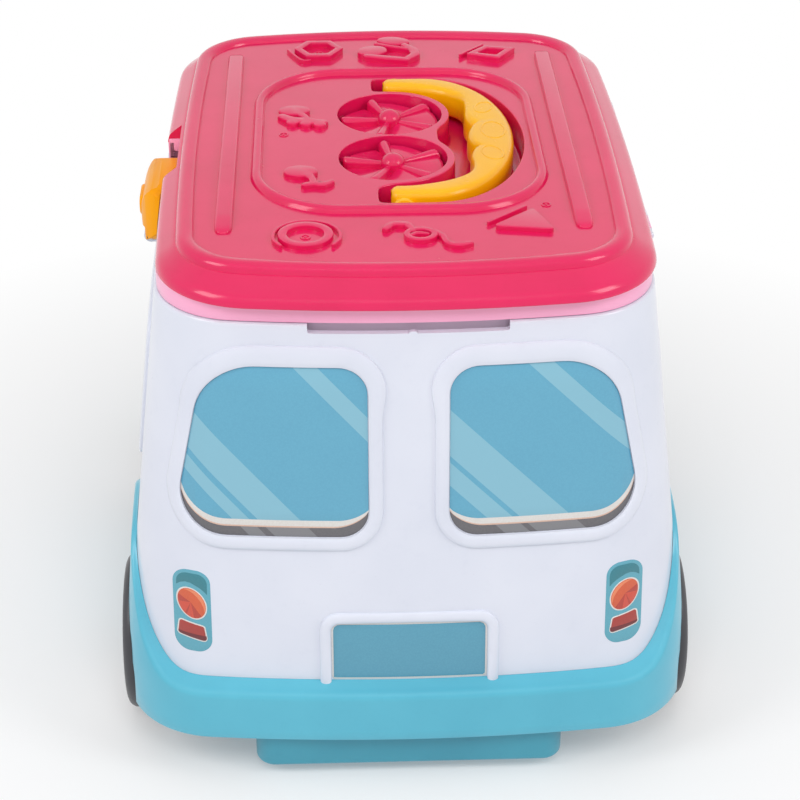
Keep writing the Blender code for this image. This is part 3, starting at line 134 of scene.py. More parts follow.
def stackRings(name, rings, closed=False, caps=(True, True)):
    # A circle laid on the first ring and extruded to each next one
    deselectAll()
    count = len(rings[0])
    bpy.ops.mesh.primitive_circle_add(vertices=count, radius=0.1, fill_type="NOTHING")
    piece = bpy.context.object
    piece.name = name
    piece.data.name = name
    shape = editMesh(piece)
    shape.verts.ensure_lookup_table()
    for vertex, point in zip(shape.verts, rings[0]):
        vertex.co = Vector(point) * mm
    current = list(shape.verts)
    bpy.ops.mesh.select_all(action="SELECT")
    for ring in rings[1:]:
        seat = {tuple(vertex.co): i for i, vertex in enumerate(current)}
        bmesh.update_edit_mesh(piece.data)
        bpy.ops.mesh.extrude_region_move()
        shape = bmesh.from_edit_mesh(piece.data)
        fresh = [None] * count
        for vertex in shape.verts:
            if vertex.select:
                fresh[seat[tuple(vertex.co)]] = vertex
        for vertex, point in zip(fresh, ring):
            vertex.co = Vector(point) * mm
        current = fresh
    shape.verts.ensure_lookup_table()
    first = [shape.verts[i] for i in range(count)]
    if closed:
        for i in range(count):
            j = (i + 1) % count
            shape.faces.new((current[i], current[j], first[j], first[i]))
    else:
        if caps[0]:
            shape.faces.new(first[::-1])
        if caps[1]:
            shape.faces.new(current)
    leaveEdit(piece)
    return fixNormals(piece)


def fillBetween(name, loops):
    # A flat face with holes: closed loops of points, filled with triangles
    pieces = []
    for loop in loops:
        deselectAll()
        bpy.ops.mesh.primitive_circle_add(vertices=len(loop), radius=0.1, fill_type="NOTHING")
        piece = bpy.context.object
        for vertex, point in zip(piece.data.vertices, loop):
            vertex.co = Vector(point) * mm
        pieces.append(piece)
    face = joinPieces(pieces, name)
    editMesh(face)
    bpy.ops.mesh.select_all(action="SELECT")
    bpy.ops.mesh.fill(use_beauty=True)
    bpy.ops.object.mode_set(mode="OBJECT")
    return face


def along(axis, a, b, t):
    return {"X": (t, a, b), "Y": (a, t, b), "Z": (a, b, t)}[axis]


def quarter(steps, first=0, last=None):
    # Sine and cosine at even steps of a quarter turn
    for i in range(first, (steps if last is None else last) + 1):
        turn = math.pi / 2.0 * i / steps
        yield math.sin(turn), math.cos(turn)


def spline(knots, steps):
    # A smooth curve through the knots, up to but without the last one
    end = len(knots) - 1
    points = []
    for i in range(end):
        before, here, there, after = (Vector(knots[min(max(i + k, 0), end)]) for k in (-1, 0, 1, 2))
        bend = 2.0 * before - 5.0 * here + 4.0 * there - after
        twist = 3.0 * here - before - 3.0 * there + after
        for step in range(steps):
            t = step / steps
            points.append(0.5 * (2.0 * here + (there - before) * t + bend * t ** 2 + twist * t ** 3))
    return points


def circleAt(a, b, radius, steps=48):
    turns = [math.tau * i / steps for i in range(steps)]
    return [Vector((a + radius * math.cos(turn), b + radius * math.sin(turn))) for turn in turns]


def prism(name, outline, axis, low, high):
    return stackRings(name, [[along(axis, p[0], p[1], t) for p in outline] for t in (low, high)])


def rod(name, axis, a, b, radius, low, high, steps=32):
    return prism(name, circleAt(a, b, radius, steps), axis, low, high)


def turned(name, profile, axis, centre, steps=64, side=1.0, closed=False):
    # A profile of (place along the axis, radius) carried round it
    rings = [[along(axis, p.x, p.y, side * t) for p in circleAt(*centre, radius, steps)]
             for t, radius in profile]
    return stackRings(name, rings, closed)


def block(name, low, high, edge=0.0):
    deselectAll()
    low, high = Vector(low) * mm, Vector(high) * mm
    bpy.ops.mesh.primitive_cube_add(size=1.0, location=(low + high) / 2.0, scale=high - low)
    piece = bpy.context.object
    piece.name = name
    bpy.ops.object.transform_apply(location=True, rotation=True, scale=True)
    if edge:
        editMesh(piece)
        bpy.ops.mesh.select_all(action="SELECT")
        bpy.ops.mesh.bevel(offset=edge * mm, segments=3)
        leaveEdit(piece)
    return piece


def rounded(corners, steps=10):
    # Polygon with an arc at each corner, given as (a, b, radius)
    outline = []
    count = len(corners)
    for i, (a, b, radius) in enumerate(corners):
        here = Vector((a, b))
        if radius <= 0.0:
            outline.append(here)
            continue
        back = (Vector(corners[i - 1][:2]) - here).normalized()
        ahead = (Vector(corners[(i + 1) % count][:2]) - here).normalized()
        half = back.angle(ahead) / 2.0
        centre = here + (back + ahead).normalized() * radius / math.sin(half)
        start = here + back * radius / math.tan(half) - centre
        end = here + ahead * radius / math.tan(half) - centre
        turn = start.angle_signed(end)
        for step in range(steps + 1):
            spoke = start.copy()
            spoke.rotate(Matrix.Rotation(-turn * step / steps, 2))
            outline.append(centre + spoke)
    return outline


def oblong(left, low, right, high, radius, steps=10):
    # Rectangle with rounded corners
    return rounded([(left, low, radius), (right, low, radius), (right, high, radius),
                    (left, high, radius)], steps)


def mirrored(outline):
    return [Vector((-p.x, p.y)) for p in outline][::-1]


def shifted(outline, by):
    # The outline moved outwards along its own normals
    pairs = list(zip(outline, outline[1:] + outline[:1]))
    area = sum(here.cross(there) for here, there in pairs)
    side = 1.0 if area > 0.0 else -1.0
    moved = []
    for i, (here, there) in enumerate(pairs):
        behind = (here - outline[i - 1]).normalized()
        ahead = (there - here).normalized()
        normal = Vector((behind.y + ahead.y, -behind.x - ahead.x)) * side
        moved.append(here + normal * by / (1.0 + behind.dot(ahead)))
    return moved


def resampled(outline, step):
    # The closed outline with points at even distances
    loop = outline + [outline[0]]
    lengths = [0.0]
    for i in range(1, len(loop)):
        lengths.append(lengths[-1] + (loop[i] - loop[i - 1]).length)
    count = max(12, round(lengths[-1] / step))
    even = []
    k = 0
    for i in range(count):
        want = lengths[-1] * i / count
        while lengths[k + 1] < want:
            k += 1
        share = (want - lengths[k]) / max(lengths[k + 1] - lengths[k], 1e-9)
        even.append(loop[k].lerp(loop[k + 1], share))
    return even


def softened(outline, step, passes):
    # Even points, with the corners eased by averaging
    even = resampled(outline, step)
    for _ in range(passes):
        ahead = even[1:] + even[:1]
        even = [(even[i - 1] + even[i] * 2.0 + ahead[i]) / 4.0 for i in range(len(even))]
    return even


def pad(name, outline, foot, top, edge, steps=4):
    # A raised pad with a rounded upper edge, lying flat
    rows = [(0.0, foot), (0.0, top - edge)]
    rows += [(edge * (cos - 1.0), top + edge * (sin - 1.0)) for sin, cos in quarter(steps, 1)]
    return stackRings(name, [atHeight(shifted(outline, by), height) for by, height in rows])


def lifted(piece, lift):
    # Moves every point of a flat piece to its place: along, up and out
    for vertex in piece.data.vertices:
        vertex.co = lift(*(vertex.co / mm)) * mm
    return fixNormals(piece)


wrapLines = {"wide": 4.0, "wideCount": 19, "plain": 64.0, "fine": 1.25, "fineCount": 23,
             "rows": 12.0, "rowCount": 17}


def wrapped(piece, lift):
    # Cuts a flat piece into strips, finer at the corners, so that it can follow a curved wall
    size = wrapLines
    lines = [size["wide"] * i for i in range(-size["wideCount"], size["wideCount"] + 1)]
    for i in range(1, size["fineCount"] + 1):
        away = size["plain"] + size["fine"] * i
        lines += [away, -away]
    rows = [size["rows"] * i for i in range(size["rowCount"] + 1)]
    spots = [vertex.co / mm for vertex in piece.data.vertices]
    editMesh(piece)
    for axis, places in ((0, lines), (1, rows)):
        normal = Vector((0.0, 0.0, 0.0))
        normal[axis] = 1.0
        low, high = (limit(p[axis] for p in spots) for limit in (min, max))
        for place in places:
            if low < place < high:
                bpy.ops.mesh.select_all(action="SELECT")
                bpy.ops.mesh.bisect(plane_co=normal * place * mm, plane_no=normal)
    bpy.ops.object.mode_set(mode="OBJECT")
    return lifted(piece, lift)


def collar(name, outline, width, foot, top, lift, steps=8, power=0.6, wider=None):
    # A raised band round the outside of an outline, with a rounded section
    rows = [(0.0, foot), (0.0, 0.0)]
    for i in range(1, steps):
        turn = math.pi * i / steps
        rows.append((width * (0.5 - 0.5 * math.cos(turn)), top * math.sin(turn) ** power))
    rows += [(width, 0.0), (width, foot)]
    rings = []
    for by, height in rows:
        moved = shifted(outline, by)
        if wider:
            moved = [start + (end - start) * wider(start) for start, end in zip(outline, moved)]
        rings.append([lift(p.x, p.y, height) for p in moved])
    return stackRings(name, rings, closed=True)


# Plan outline of the body, the skirt and the lid

def planArcs(halfWidth, halfLength, sideBow, endBow, corner):
    # Centres and turns of the arcs that make a quarter of the plan
    endRadius = (halfWidth ** 2 + endBow ** 2) / (2.0 * endBow)
    sideRadius = (halfLength ** 2 + sideBow ** 2) / (2.0 * sideBow)
    endCentre = Vector((0.0, halfLength - endRadius))
    sideCentre = Vector((halfWidth - sideRadius, 0.0))
    span = sideCentre - endCentre
    near, far = endRadius - corner, sideRadius - corner
    alongSpan = (near ** 2 - far ** 2 + span.length_squared) / (2.0 * span.length)
    across = math.sqrt(near ** 2 - alongSpan ** 2)
    unit = span.normalized()
    middle = endCentre + unit * alongSpan
    offset = Vector((-unit.y, unit.x)) * across
    centre = max((middle + offset, middle - offset), key=lambda p: p.x + p.y)
    endTurn = math.atan2(centre.x, centre.y - endCentre.y)
    sideTurn = math.atan2(centre.y, centre.x - sideCentre.x)
    return endRadius, sideRadius, endCentre, sideCentre, centre, endTurn, sideTurn


planSteps = {"end": 24, "corner": 16, "side": 44}


def planOutline(halfWidth, halfLength, sideBow, endBow, corner):
    arcs = planArcs(halfWidth, halfLength, sideBow, endBow, corner)
    endRadius, sideRadius, endCentre, sideCentre, centre, endTurn, sideTurn = arcs
    quarterLine = []
    steps = planSteps["end"]
    for i in range(steps):
        turn = endTurn * i / steps
        quarterLine.append(endCentre + Vector((math.sin(turn), math.cos(turn))) * endRadius)
    steps = planSteps["corner"]
    for i in range(steps + 1):
        turn = math.pi / 2.0 - endTurn
        turn += (sideTurn - turn) * i / steps
        quarterLine.append(centre + Vector((math.cos(turn), math.sin(turn))) * corner)
    steps = planSteps["side"]
    for i in range(1, steps + 1):
        turn = sideTurn * (1.0 - i / steps)
        quarterLine.append(sideCentre + Vector((math.cos(turn), math.sin(turn))) * sideRadius)
    right = quarterLine + [Vector((p.x, -p.y)) for p in quarterLine[-2::-1]]
    left = [Vector((-p.x, p.y)) for p in right[-2:0:-1]]
    return (right + left)[::-1]


def planReach(t, arcs, corner, sideways):
    # How far the plan reaches to its side or its end, at a distance t from the middle
    endRadius, sideRadius, endCentre, sideCentre, centre, endTurn, sideTurn = arcs
    if sideways:
        radius, start, turn, aside, ahead = sideRadius, sideCentre.x, sideTurn, centre.y, centre.x
    else:
        radius, start, turn, aside, ahead = endRadius, endCentre.y, endTurn, centre.x, centre.y
    if abs(t) < radius * math.sin(turn):
        return start + math.sqrt(radius ** 2 - t ** 2)
    return ahead + math.sqrt(max(corner ** 2 - (abs(t) - aside) ** 2, 0.0))


def atHeight(outline, z):
    return [Vector((p.x, p.y, z)) for p in outline]


# Shader maths

class Link:
    # Wraps a node's output socket; sums on it add Math nodes
    def __init__(self, tree, socket):
        self.tree = tree
        self.socket = socket

    def maths(self, operation, *values):
        node = self.tree.nodes.new("ShaderNodeMath")
        node.operation = operation
        for slot, value in zip(node.inputs, values):
            if isinstance(value, Link):
                self.tree.links.new(value.socket, slot)
            else:
                slot.default_value = value
        return Link(self.tree, node.outputs[0])

    def __add__(self, other):
        return self.maths("ADD", self, other)

    def __radd__(self, other):
        return self.maths("ADD", other, self)

    def __mul__(self, other):
        return self.maths("MULTIPLY", self, other)

    def __rmul__(self, other):
        return self.maths("MULTIPLY", other, self)

    def __gt__(self, other):
        return self.maths("GREATER_THAN", self, other)

    def __lt__(self, other):
        return self.maths("LESS_THAN", self, other)

    def atMost(self, other):
        return self.maths("MINIMUM", self, other)

    def atLeast(self, other):
        return self.maths("MAXIMUM", self, other)

    def root(self):
        return self.maths("SQRT", self)

    def between(self, low, high):
        return (self > low) * (self < high)


class Finish:
    # A material being put together round one Principled shader
    def __init__(self, name, **constants):
        self.material = bpy.data.materials.new(name)
        self.material.use_nodes = True
        self.tree = self.material.node_tree
        self.shader = self.tree.nodes["Principled BSDF"]
        for socket, value in constants.items():
            self.shader.inputs[socket.replace("_", " ")].default_value = value
        self.place = self.node("TexCoord").outputs["Object"]

    def node(self, kind, settings=(), **values):
        node = self.tree.nodes.new("ShaderNode" + kind)
        for key, value in dict(settings).items():
            setattr(node, key, value)
        for key, value in values.items():
            place = int(key[1:]) if key[1:].isdigit() else key.replace("_", " ")
            self.put(node.inputs[place], value)
        return node

    def put(self, socket, value):
        if isinstance(value, Link):
            value = value.socket
        if isinstance(value, bpy.types.NodeSocket):
            self.tree.links.new(value, socket)
        else:
            socket.default_value = value

    def link(self, socket):
        return Link(self.tree, socket)

    def noise(self, scale, detail=3.0, roughness=0.55):
        node = self.node("TexNoise", Vector=self.place, Scale=scale, Detail=detail,
                         Roughness=roughness)
        return self.link(node.outputs["Fac"])

    def spots(self, scale):
        node = self.node("TexVoronoi", Vector=self.place, Scale=scale)
        return self.link(node.outputs["Distance"])

    def spread(self, value, low, high, toLow, toHigh):
        node = self.node("MapRange", {"clamp": True}, i0=value, i1=low, i2=high, i3=toLow,
                         i4=toHigh)
        return self.link(node.outputs[0])

    def mix(self, factor, first, second):
        # Colour between two colours
        node = self.node("Mix", {"data_type": "RGBA"}, i0=factor, i6=first, i7=second)
        return node.outputs[2]

    def axes(self):
        # Object coordinates, in millimetres
        node = self.node("SeparateXYZ", Vector=self.place)
        return [self.link(socket) * 1000.0 for socket in node.outputs]

    def paint(self, **values):
        for key, value in values.items():
            self.put(self.shader.inputs[key.replace("_", " ")], value)
        return self

    def grain(self, height, strength, distance):
        node = self.node("Bump", Strength=strength, Distance=distance, Height=height)
        self.put(self.shader.inputs["Normal"], node.outputs["Normal"])
        return self.material


def linear(red, green, blue):
    # Colour written as it is seen, from 0 to 255, for the shader
    def one(value):
        share = value / 255.0
        return share / 12.92 if share <= 0.04045 else ((share + 0.055) / 1.055) ** 2.4
    return (one(red), one(green), one(blue), 1.0)


# Ripple is the slow waviness of a moulded face; scales are per metre
plasticLook = {"ripple": 26.0, "grain": 900.0, "scuff": 210.0}


def mouldedPlastic(name, colour, worn, roughness, coat, specular=0.5):
    # Glossy moulded plastic: slow ripples, fine grain and faint scuffs
    look = Finish(name, Coat_Weight=coat, Coat_Roughness=0.08, Specular_IOR_Level=specular)
    ripple = look.noise(plasticLook["ripple"], 2.0)
    grain = look.noise(plasticLook["grain"], 4.0)
    scuff = look.spread(look.noise(plasticLook["scuff"], 6.0, 0.7), 0.55, 0.75, 0.0, 1.0)
    tone = look.spread(ripple, 0.3, 0.7, 0.0, 1.0)
    look.paint(Base_Color=look.mix(tone * 0.6 + scuff * 0.25, linear(*colour), linear(*worn)),
               Roughness=roughness + grain * 0.05 + scuff * 0.10)
    return look.grain(ripple * 0.75 + grain * 0.02, 0.12, 0.0012)


# Colour, worn colour, roughness, coat and specular level
plastics = {
    "whitePlastic": ((224, 227, 239), (213, 217, 231), 0.26, 0.35),
    # Grey-violet painted shade, for the wall seen through the finger notch
    "shadedPlastic": ((214, 196, 214), (202, 184, 202), 0.4, 0.0, 0.2),
    "turquoisePlastic": ((88, 186, 210), (76, 172, 198), 0.28, 0.3),
    # The bumper's turquoise painted darker: painted shade for the parts under the skirt
    "deepTurquoise": ((66, 158, 180), (56, 144, 168), 0.34, 0.15),
    "crimsonPlastic": ((228, 24, 92), (212, 16, 80), 0.17, 0.3, 0.35),
    "pinkPlastic": ((253, 177, 211), (245, 162, 199), 0.30, 0.2),
    "yellowPlastic": ((253, 190, 6), (249, 176, 2), 0.20, 0.15, 0.3),
    # The handle's yellow, darker and more orange: painted shade for the latch's sideways face, which
    # catches less reflected light
    "amberPlastic": ((250, 166, 2), (246, 154, 1), 0.30, 0.0, 0.15),
    "tyrePlastic": ((62, 62, 67), (50, 50, 55), 0.40, 0.1),
    "hubPlastic": ((222, 224, 230), (208, 211, 218), 0.26, 0.3),
}
finishes = {name: mouldedPlastic(name, *look) for name, look in plastics.items()}


def brightSteel():
    # Drawn wire: fine scratches along the piece and a few dull spots
    look = Finish("brightSteel", Metallic=1.0, Anisotropic=0.3)
    stretched = look.node("Mapping", Vector=look.place, Scale=(1.0, 60.0, 1.0))
    fine = look.node("TexNoise", Vector=stretched.outputs[0], Scale=180.0, Detail=4.0)
    lines = look.link(fine.outputs["Fac"])
    dull = look.spread(look.noise(300.0, 4.0), 0.5, 0.8, 0.0, 1.0)
    look.paint(Base_Color=look.mix(dull, linear(196, 197, 200), linear(150, 148, 146)),
               Roughness=0.22 + lines * 0.12 + dull * 0.15)
    return look.grain(lines, 0.15, 0.0002)


finishes["steel"] = brightSteel()
print("finishes ready")


def dress(piece, finish, body, slot, *nodes):
    # Gives a finished piece its material, its body and the nodes that it replaces
    if finish:
        piece.data.materials.clear()
        piece.data.materials.append(finishes[finish])
    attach(piece, body)
    if nodes:
        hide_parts(*nodes)
    return piece


# Body shell

bodySize = {
    "halfWidth": 95.65, "halfLength": 127.82, "rim": 195.2,
    "sideFlare": 0.117, "sillFlare": 0.05, "endFlare": 0.094,
    "corner": 34.0, "sideBow": 3.0, "endBow": 9.0,
    "fenderTop": 92.0, "foot": 39.3, "wall": 2.6, "floorLow": 72.0, "floorTop": 75.0,
    "rimRound": 1.1, "floorFillet": 4.0, "footRound": 0.4,
    "outside": (44.0, 56.0, 68.0, 80.0, 88.0, 91.0, 93.0, 96.0, 104.0, 120.0, 140.0, 160.0, 180.0,
                189.0, 193.0),
    "inside": (190.0, 170.0, 140.0, 110.0, 90.0),
    "notch": (-36.8, 36.8, 191.8), "notchMark": (1.6, 1.45, 2.3), "notchLine": (-38.0, 4.0, 20, 190.0),
    "notchFill": (-5.6, -4.3, 182.0), "notchShade": (-4.35, -4.1, 189.0),
}
wheelPlace = {"halfBase": 86.035, "z": 32.0, "radius": 32.0, "outer": 114.02, "inner": 91.03,
              "arch": 37.0, "well": 39.4, "wellInner": 86.03, "wellWall": (83.63, 125.0),
              "bodyWall": 83.3, "room": 140.0, "roomFoot": -10.0}


def bodyPlan(z, out=0.0):
    # Half width, half length, bows and corner of the body's outline at one height
    size = bodySize
    drop = size["rim"] - z
    above = min(drop, size["rim"] - size["fenderTop"])
    width = size["halfWidth"] + size["sideFlare"] * above + size["sillFlare"] * max(drop - above, 0.0)
    length = size["halfLength"] + size["endFlare"] * drop
    return width + out, length + out, size["sideBow"], size["endBow"], size["corner"] + out


def bodyArcs(z, out=0.0):
    plan = bodyPlan(z, out)
    return planArcs(*plan), plan[-1]


def bodyRing(z, out=0.0):
    return atHeight(planOutline(*bodyPlan(z, out)), z)


def onRear(a, z, out):
    return Vector((a, -planReach(a, *bodyArcs(z, out), False), z))


def onFront(a, z, out):
    return Vector((a, planReach(a, *bodyArcs(z, out), False), z))


def onRight(a, z, out):
    return Vector((planReach(a, *bodyArcs(z, out), True), a, z))


def onLeft(a, z, out):
    return Vector((-planReach(a, *bodyArcs(z, out), True), a, z))


def archOutline(y, radius, foot, steps=40):
    # Upside-down U over a wheel, in the side view
    turns = [math.pi * i / steps for i in range(steps + 1)]
    top = [Vector((y + radius * math.cos(turn), wheelPlace["z"] + radius * math.sin(turn)))
           for turn in turns]
    return [Vector((y + radius, foot))] + top + [Vector((y - radius, foot))]


def wheelSides():
    for end, y in (("rear", -wheelPlace["halfBase"]), ("front", wheelPlace["halfBase"])):
        for name, side in (("left", -1), ("right", 1)):
            yield end, name, side, y


def acrossWheel(name, side, outline, near, far):
    low, high = sorted((side * near, side * far))
    return prism(name, outline, "X", low, high)


rearWindow = {
    "outline": ((15.1, 178.5, 11.0), (75.5, 178.5, 24.0), (90.0, 108.6, 17.0), (15.1, 108.6, 11.0)),
    "screen": ((-75.5, 178.5, 24.0), (75.5, 178.5, 24.0), (90.0, 108.6, 17.0), (-90.0, 108.6, 17.0)),
    "side": ((-75.0, 168.0, 12.0), (7.0, 168.0, 12.0), (7.0, 112.0, 12.0), (-75.0, 112.0, 12.0)),
    "cab": ((23.0, 168.0, 12.0), (65.0, 168.0, 12.0), (79.0, 112.0, 12.0), (23.0, 112.0, 12.0)),
    "frameWidth": 5.4, "frameProud": 1.5,
}
numberPlate = {"halfWidth": 30.3, "top": 71.4, "low": 38.0, "filmLow": 46.3, "corner": 3.4,
               "filmCorner": 3.2, "frameWidth": 4.5, "frameProud": 1.9}


def plateOutline(inset, corner, low):
    # Rounded above, square below, where the bumper covers it
    x, top = numberPlate["halfWidth"] - inset, numberPlate["top"] - inset
    return rounded([(-x, top, corner), (x, top, corner), (x, low, 0.0), (-x, low, 0.0)])


def topHeavy(point):
    # The end windows' frames are wider along their upper edge
    return 1.0 + 0.55 * min(max((point.y - 158.0) / 20.0, 0.0), 1.0)


def notchWall(back, face, low):
    # Part of the wall behind the finger notch
    start, step, count, level = bodySize["notchLine"]
    near, far = ([onRear(start + step * i, level, out).xy for i in range(count)]
                 for out in (face, back))
    return prism("notchWall", near + far[::-1], "Z", low, bodySize["rim"] - 0.2)


def buildBody():
    size = bodySize
    wall, rim, edge, foot, eased, fillet = (
        size[key] for key in ("wall", "rim", "rimRound", "foot", "footRound", "floorFillet"))
    rings = [bodyRing(size["floorLow"], -wall), bodyRing(foot + eased, -wall),
             bodyRing(foot, -wall + eased), bodyRing(foot, -eased), bodyRing(foot + eased)]
    rings += [bodyRing(z) for z in size["outside"]]
    rings += [bodyRing(rim - edge + edge * sin, -edge + edge * cos) for sin, cos in quarter(4)]
    rings += [bodyRing(rim - edge + edge * cos, -wall + edge - edge * sin)
              for sin, cos in quarter(3, 1)]
    rings += [bodyRing(z, -wall) for z in size["inside"]]
    rings += [bodyRing(size["floorTop"] + fillet * (1.0 - sin), -wall - fillet * (1.0 - cos))
              for sin, cos in quarter(4)]
    shell = stackRings("bodyShell", rings)

    left, right, low = size["notch"]
    notch = rounded([(left, rim + 6.0, 0.0), (left, low, 0.9), (right, low, 0.9),
                     (right, rim + 6.0, 0.0)], 5)
    tools = [prism("notch", notch, "Y", -150.0, -80.0)]
    for end, name, side, y in wheelSides():
        outline = archOutline(y, wheelPlace["well"] + 0.3, 30.0)
        tools.append(acrossWheel("wheelRoom", side, outline, wheelPlace["bodyWall"],
                                 wheelPlace["room"]))
    combine(shell, *tools)

    parts = [shell]
    window = rounded(rearWindow["outline"], 14)
    frames = [(window, onRear), (mirrored(window), onRear),
              (rounded(rearWindow["screen"], 14), onFront)]
    frames += [(rounded(rearWindow[key], 12), lift) for key in ("side", "cab")
               for lift in (onRight, onLeft)]
    for outline, lift in frames:
        parts.append(collar("windowFrame", resampled(outline, 2.0), rearWindow["frameWidth"], -0.6,
                            rearWindow["frameProud"], lift,
                            wider=topHeavy if lift in (onRear, onFront) else None))
    plate = numberPlate
    parts.append(collar("plateFrame", plateOutline(0.0, plate["corner"], plate["low"]),
                        plate["frameWidth"], -0.6, plate["frameProud"], onRear))
    parts.append(notchWall(*size["notchFill"]))
    across, below, radius = size["notchMark"]
    parts.append(softRod("notchMark", "Y", across, low - below, radius, -145.0, -126.0, 0.3))
    outside = stackRings("outside", [bodyRing(z, 0.1) for z in (170.0, 210.0)])
    combine(parts[-1], outside, operation="INTERSECT")
    parts += latchLugs() + hingeLugs()
    return smooth(joinPieces(parts, "bodyShell"))


latchSize = {"y": 1.5, "width": 38.0, "pivotX": -101.4, "pivotZ": 176.0, "knuckle": 2.9, "lug": 5.0,
             "lugOffset": 10.0, "pin": 1.2, "pinEnds": (-12.6, 15.6)}
hingeSize = {"x": 96.0, "z": 199.2, "y": 55.0, "length": 22.0, "lug": 5.0, "knuckle": 2.1, "pin": 0.9}


def softRod(name, axis, a, b, radius, low, high, edge=0.5, steps=32):
    # A round bar whose two rims are eased
    profile = [(low, radius - edge), (low + 0.3 * edge, radius - 0.3 * edge), (low + edge, radius),
               (high - edge, radius), (high - 0.3 * edge, radius - 0.3 * edge), (high, radius - edge)]
    return turned(name, profile, axis, (a, b), steps)


def latchLugs():
    size = latchSize
    x, z, radius = size["pivotX"], size["pivotZ"], size["knuckle"]
    parts = []
    for y in (size["y"] - size["lugOffset"], size["y"] + size["lugOffset"]):
        low, high = y - size["lug"] / 2.0, y + size["lug"] / 2.0
        parts.append(softRod("lug", "Y", x, z, radius, low, high))
        parts.append(block("lugFoot", (x, low + 0.2, z - radius + 0.2),
                           (-95.0, high - 0.2, z + 0.5)))
    return parts


def hingeLugs():
    size = hingeSize
    x, z, lug, far = size["x"], size["z"], size["lug"], size["length"] / 2.0
    parts = []
    for middle in (-size["y"], size["y"]):
        # Each lug reaches past the end of its pin
        for low, high in ((middle - far - 0.4, middle - far + lug),
                          (middle + far - lug, middle + far + 0.4)):
            parts.append(softRod("lug", "Y", x, z, size["knuckle"] - 0.8, low, high, 0.3))
            parts.append(block("lugStem", (x - 1.3, low + 0.1, 190.8),
                               (x + 0.6, high - 0.1, 199.0)))
    return parts


dress(buildBody(), "whitePlastic", "body", "white_plastic", "body_shell")

# A thin grey film of painted shade: the wall behind the notch is painted grey, as if in the notch's shade
dress(smooth(notchWall(*bodySize["notchShade"])), "shadedPlastic", "body", "white_plastic")
print("body shell built")


# Bumper skirt with its plate and wheel wells

skirtSize = {
    "halfWidth": 113.83, "halfLength": 150.035, "foot": 22.0, "corner": 38.0, "wall": 2.6,
    "top": 46.0, "rise": 46.0, "reach": 39.6, "sharpness": 4.2,
    "cornerLift": 4.2, "liftEnd": 143.0, "liftOver": 13.0,
    "lean": 0.085, "endLean": 0.19, "bumperLean": 0.04,
    "edge": 3.2, "slope": 0.30, "plateLow": 36.0, "plateTop": 39.0, "play": 0.15,
    "core": (1.2, 30.0),
}
panSize = {
    "halfWidth": 61.03, "halfLength": 144.035, "foot": 5.0, "top": 35.7, "wall": 2.6, "corner": 8.0,
    "edge": 2.4, "screwX": 42.03, "screwY": 56.035, "sink": (3.6, 0.0, 7.2), "hole": (1.8, 0.0, 12.0),
    "boss": (4.6, 9.7, 37.0), "slot": (2.8, 29.2, 2.7, 45.0), "groove": (34.0, 1.4, 1.3),
    "grooves": (-100.0, -80.0, -20.0, 0.0, 20.0, 80.0, 100.0),
}


def screwSpots():
    return [(sx * panSize["screwX"], sy * panSize["screwY"]) for sx in (-1, 1) for sy in (-1, 1)]


def skirtRing(z, inset=0.0):
    size = skirtSize
    above = max(z - size["top"], 0.0)
    width = size["halfWidth"] - size["lean"] * above - inset
    length = size["halfLength"] - size["bumperLean"] * (z - size["foot"]) - size["endLean"] * above
    return atHeight(planOutline(width, length - inset, bodySize["sideBow"], bodySize["endBow"],
                                size["corner"] - inset), z)


def skirtTop(y):
    # High over the wheels, and a little higher at the corners than in the middle of the ends
    size = skirtSize
    away = abs(y) - wheelPlace["halfBase"]
    over = math.exp(-abs(away / size["reach"]) ** size["sharpness"])
    share = 0.0
    if away > 0.0:
        share = min(max((size["liftEnd"] - abs(y)) / size["liftOver"], 0.0), 1.0)
    lift = size["cornerLift"] * share * share * (3.0 - 2.0 * share)
    return size["top"] + lift * (1.0 - over) + size["rise"] * over


def nearestOnBody(point, z, out):
    # The point of the body's outline that lies straight inwards of a point
    (endRadius, sideRadius, endCentre, sideCentre, centre, endTurn, sideTurn), corner = bodyArcs(z, out)
    here = Vector((abs(point.x), abs(point.y)))
    turn = math.atan2(here.y - centre.y, here.x - centre.x)
    if turn > math.pi / 2.0 - endTurn:
        start, radius = endCentre, endRadius
    elif turn < sideTurn:
        start, radius = sideCentre, sideRadius
    else:
        start, radius = centre, corner
    spot = start + (here - start).normalized() * radius
    return Vector((math.copysign(spot.x, point.x), math.copysign(spot.y, point.y), z))


def skirtSection(low, middle, high):
    # One upright section of the skirt, from its foot over the ledge and back down inside
    size = skirtSize
    foot, top = size["foot"], skirtTop(middle.y)

    def outer(z):
        if z <= size["top"]:
            point = low.lerp(middle, (z - foot) / (size["top"] - foot))
        else:
            point = middle.lerp(high, (z - size["top"]) / size["rise"])
        return Vector((point.x, point.y, z))

    def wallAt(z):
        return nearestOnBody(outer(z), z, size["play"])

    def inwards(z, inset):
        point = outer(z)
        return point + (wallAt(z) - point).normalized() * inset

    room = (outer(top) - wallAt(top)).length
    edge = min(size["edge"], 0.6 * room + 1.0, room * 0.8)
    shoulder = top - size["slope"] * room - edge
    section = [inwards(foot, 1.0), inwards(foot + 0.3, 0.3), outer(foot + 1.0)]
    section += [outer(foot + 1.0 + (shoulder - foot - 1.0) * share)
                for share in (0.2, 0.4, 0.6, 0.8, 0.95)]
    for i in range(8):
        turn = math.radians(80.0) * i / 7
        section.append(inwards(shoulder + edge * math.sin(turn), edge * (1.0 - math.cos(turn))))
    ledge = section[-1]
    section += [ledge.lerp(wallAt(top), 0.35), ledge.lerp(wallAt(top), 0.7), wallAt(top),
                nearestOnBody(outer(top), top - 3.0, size["play"])]
    for share in (0.0, 0.5, 1.0):
        z = (top - 3.6) * (1.0 - share) + foot * share
        free = (outer(z) - wallAt(z)).length
        section.append(inwards(z, min(size["wall"], free) if z > bodySize["foot"] else size["wall"]))
    return section


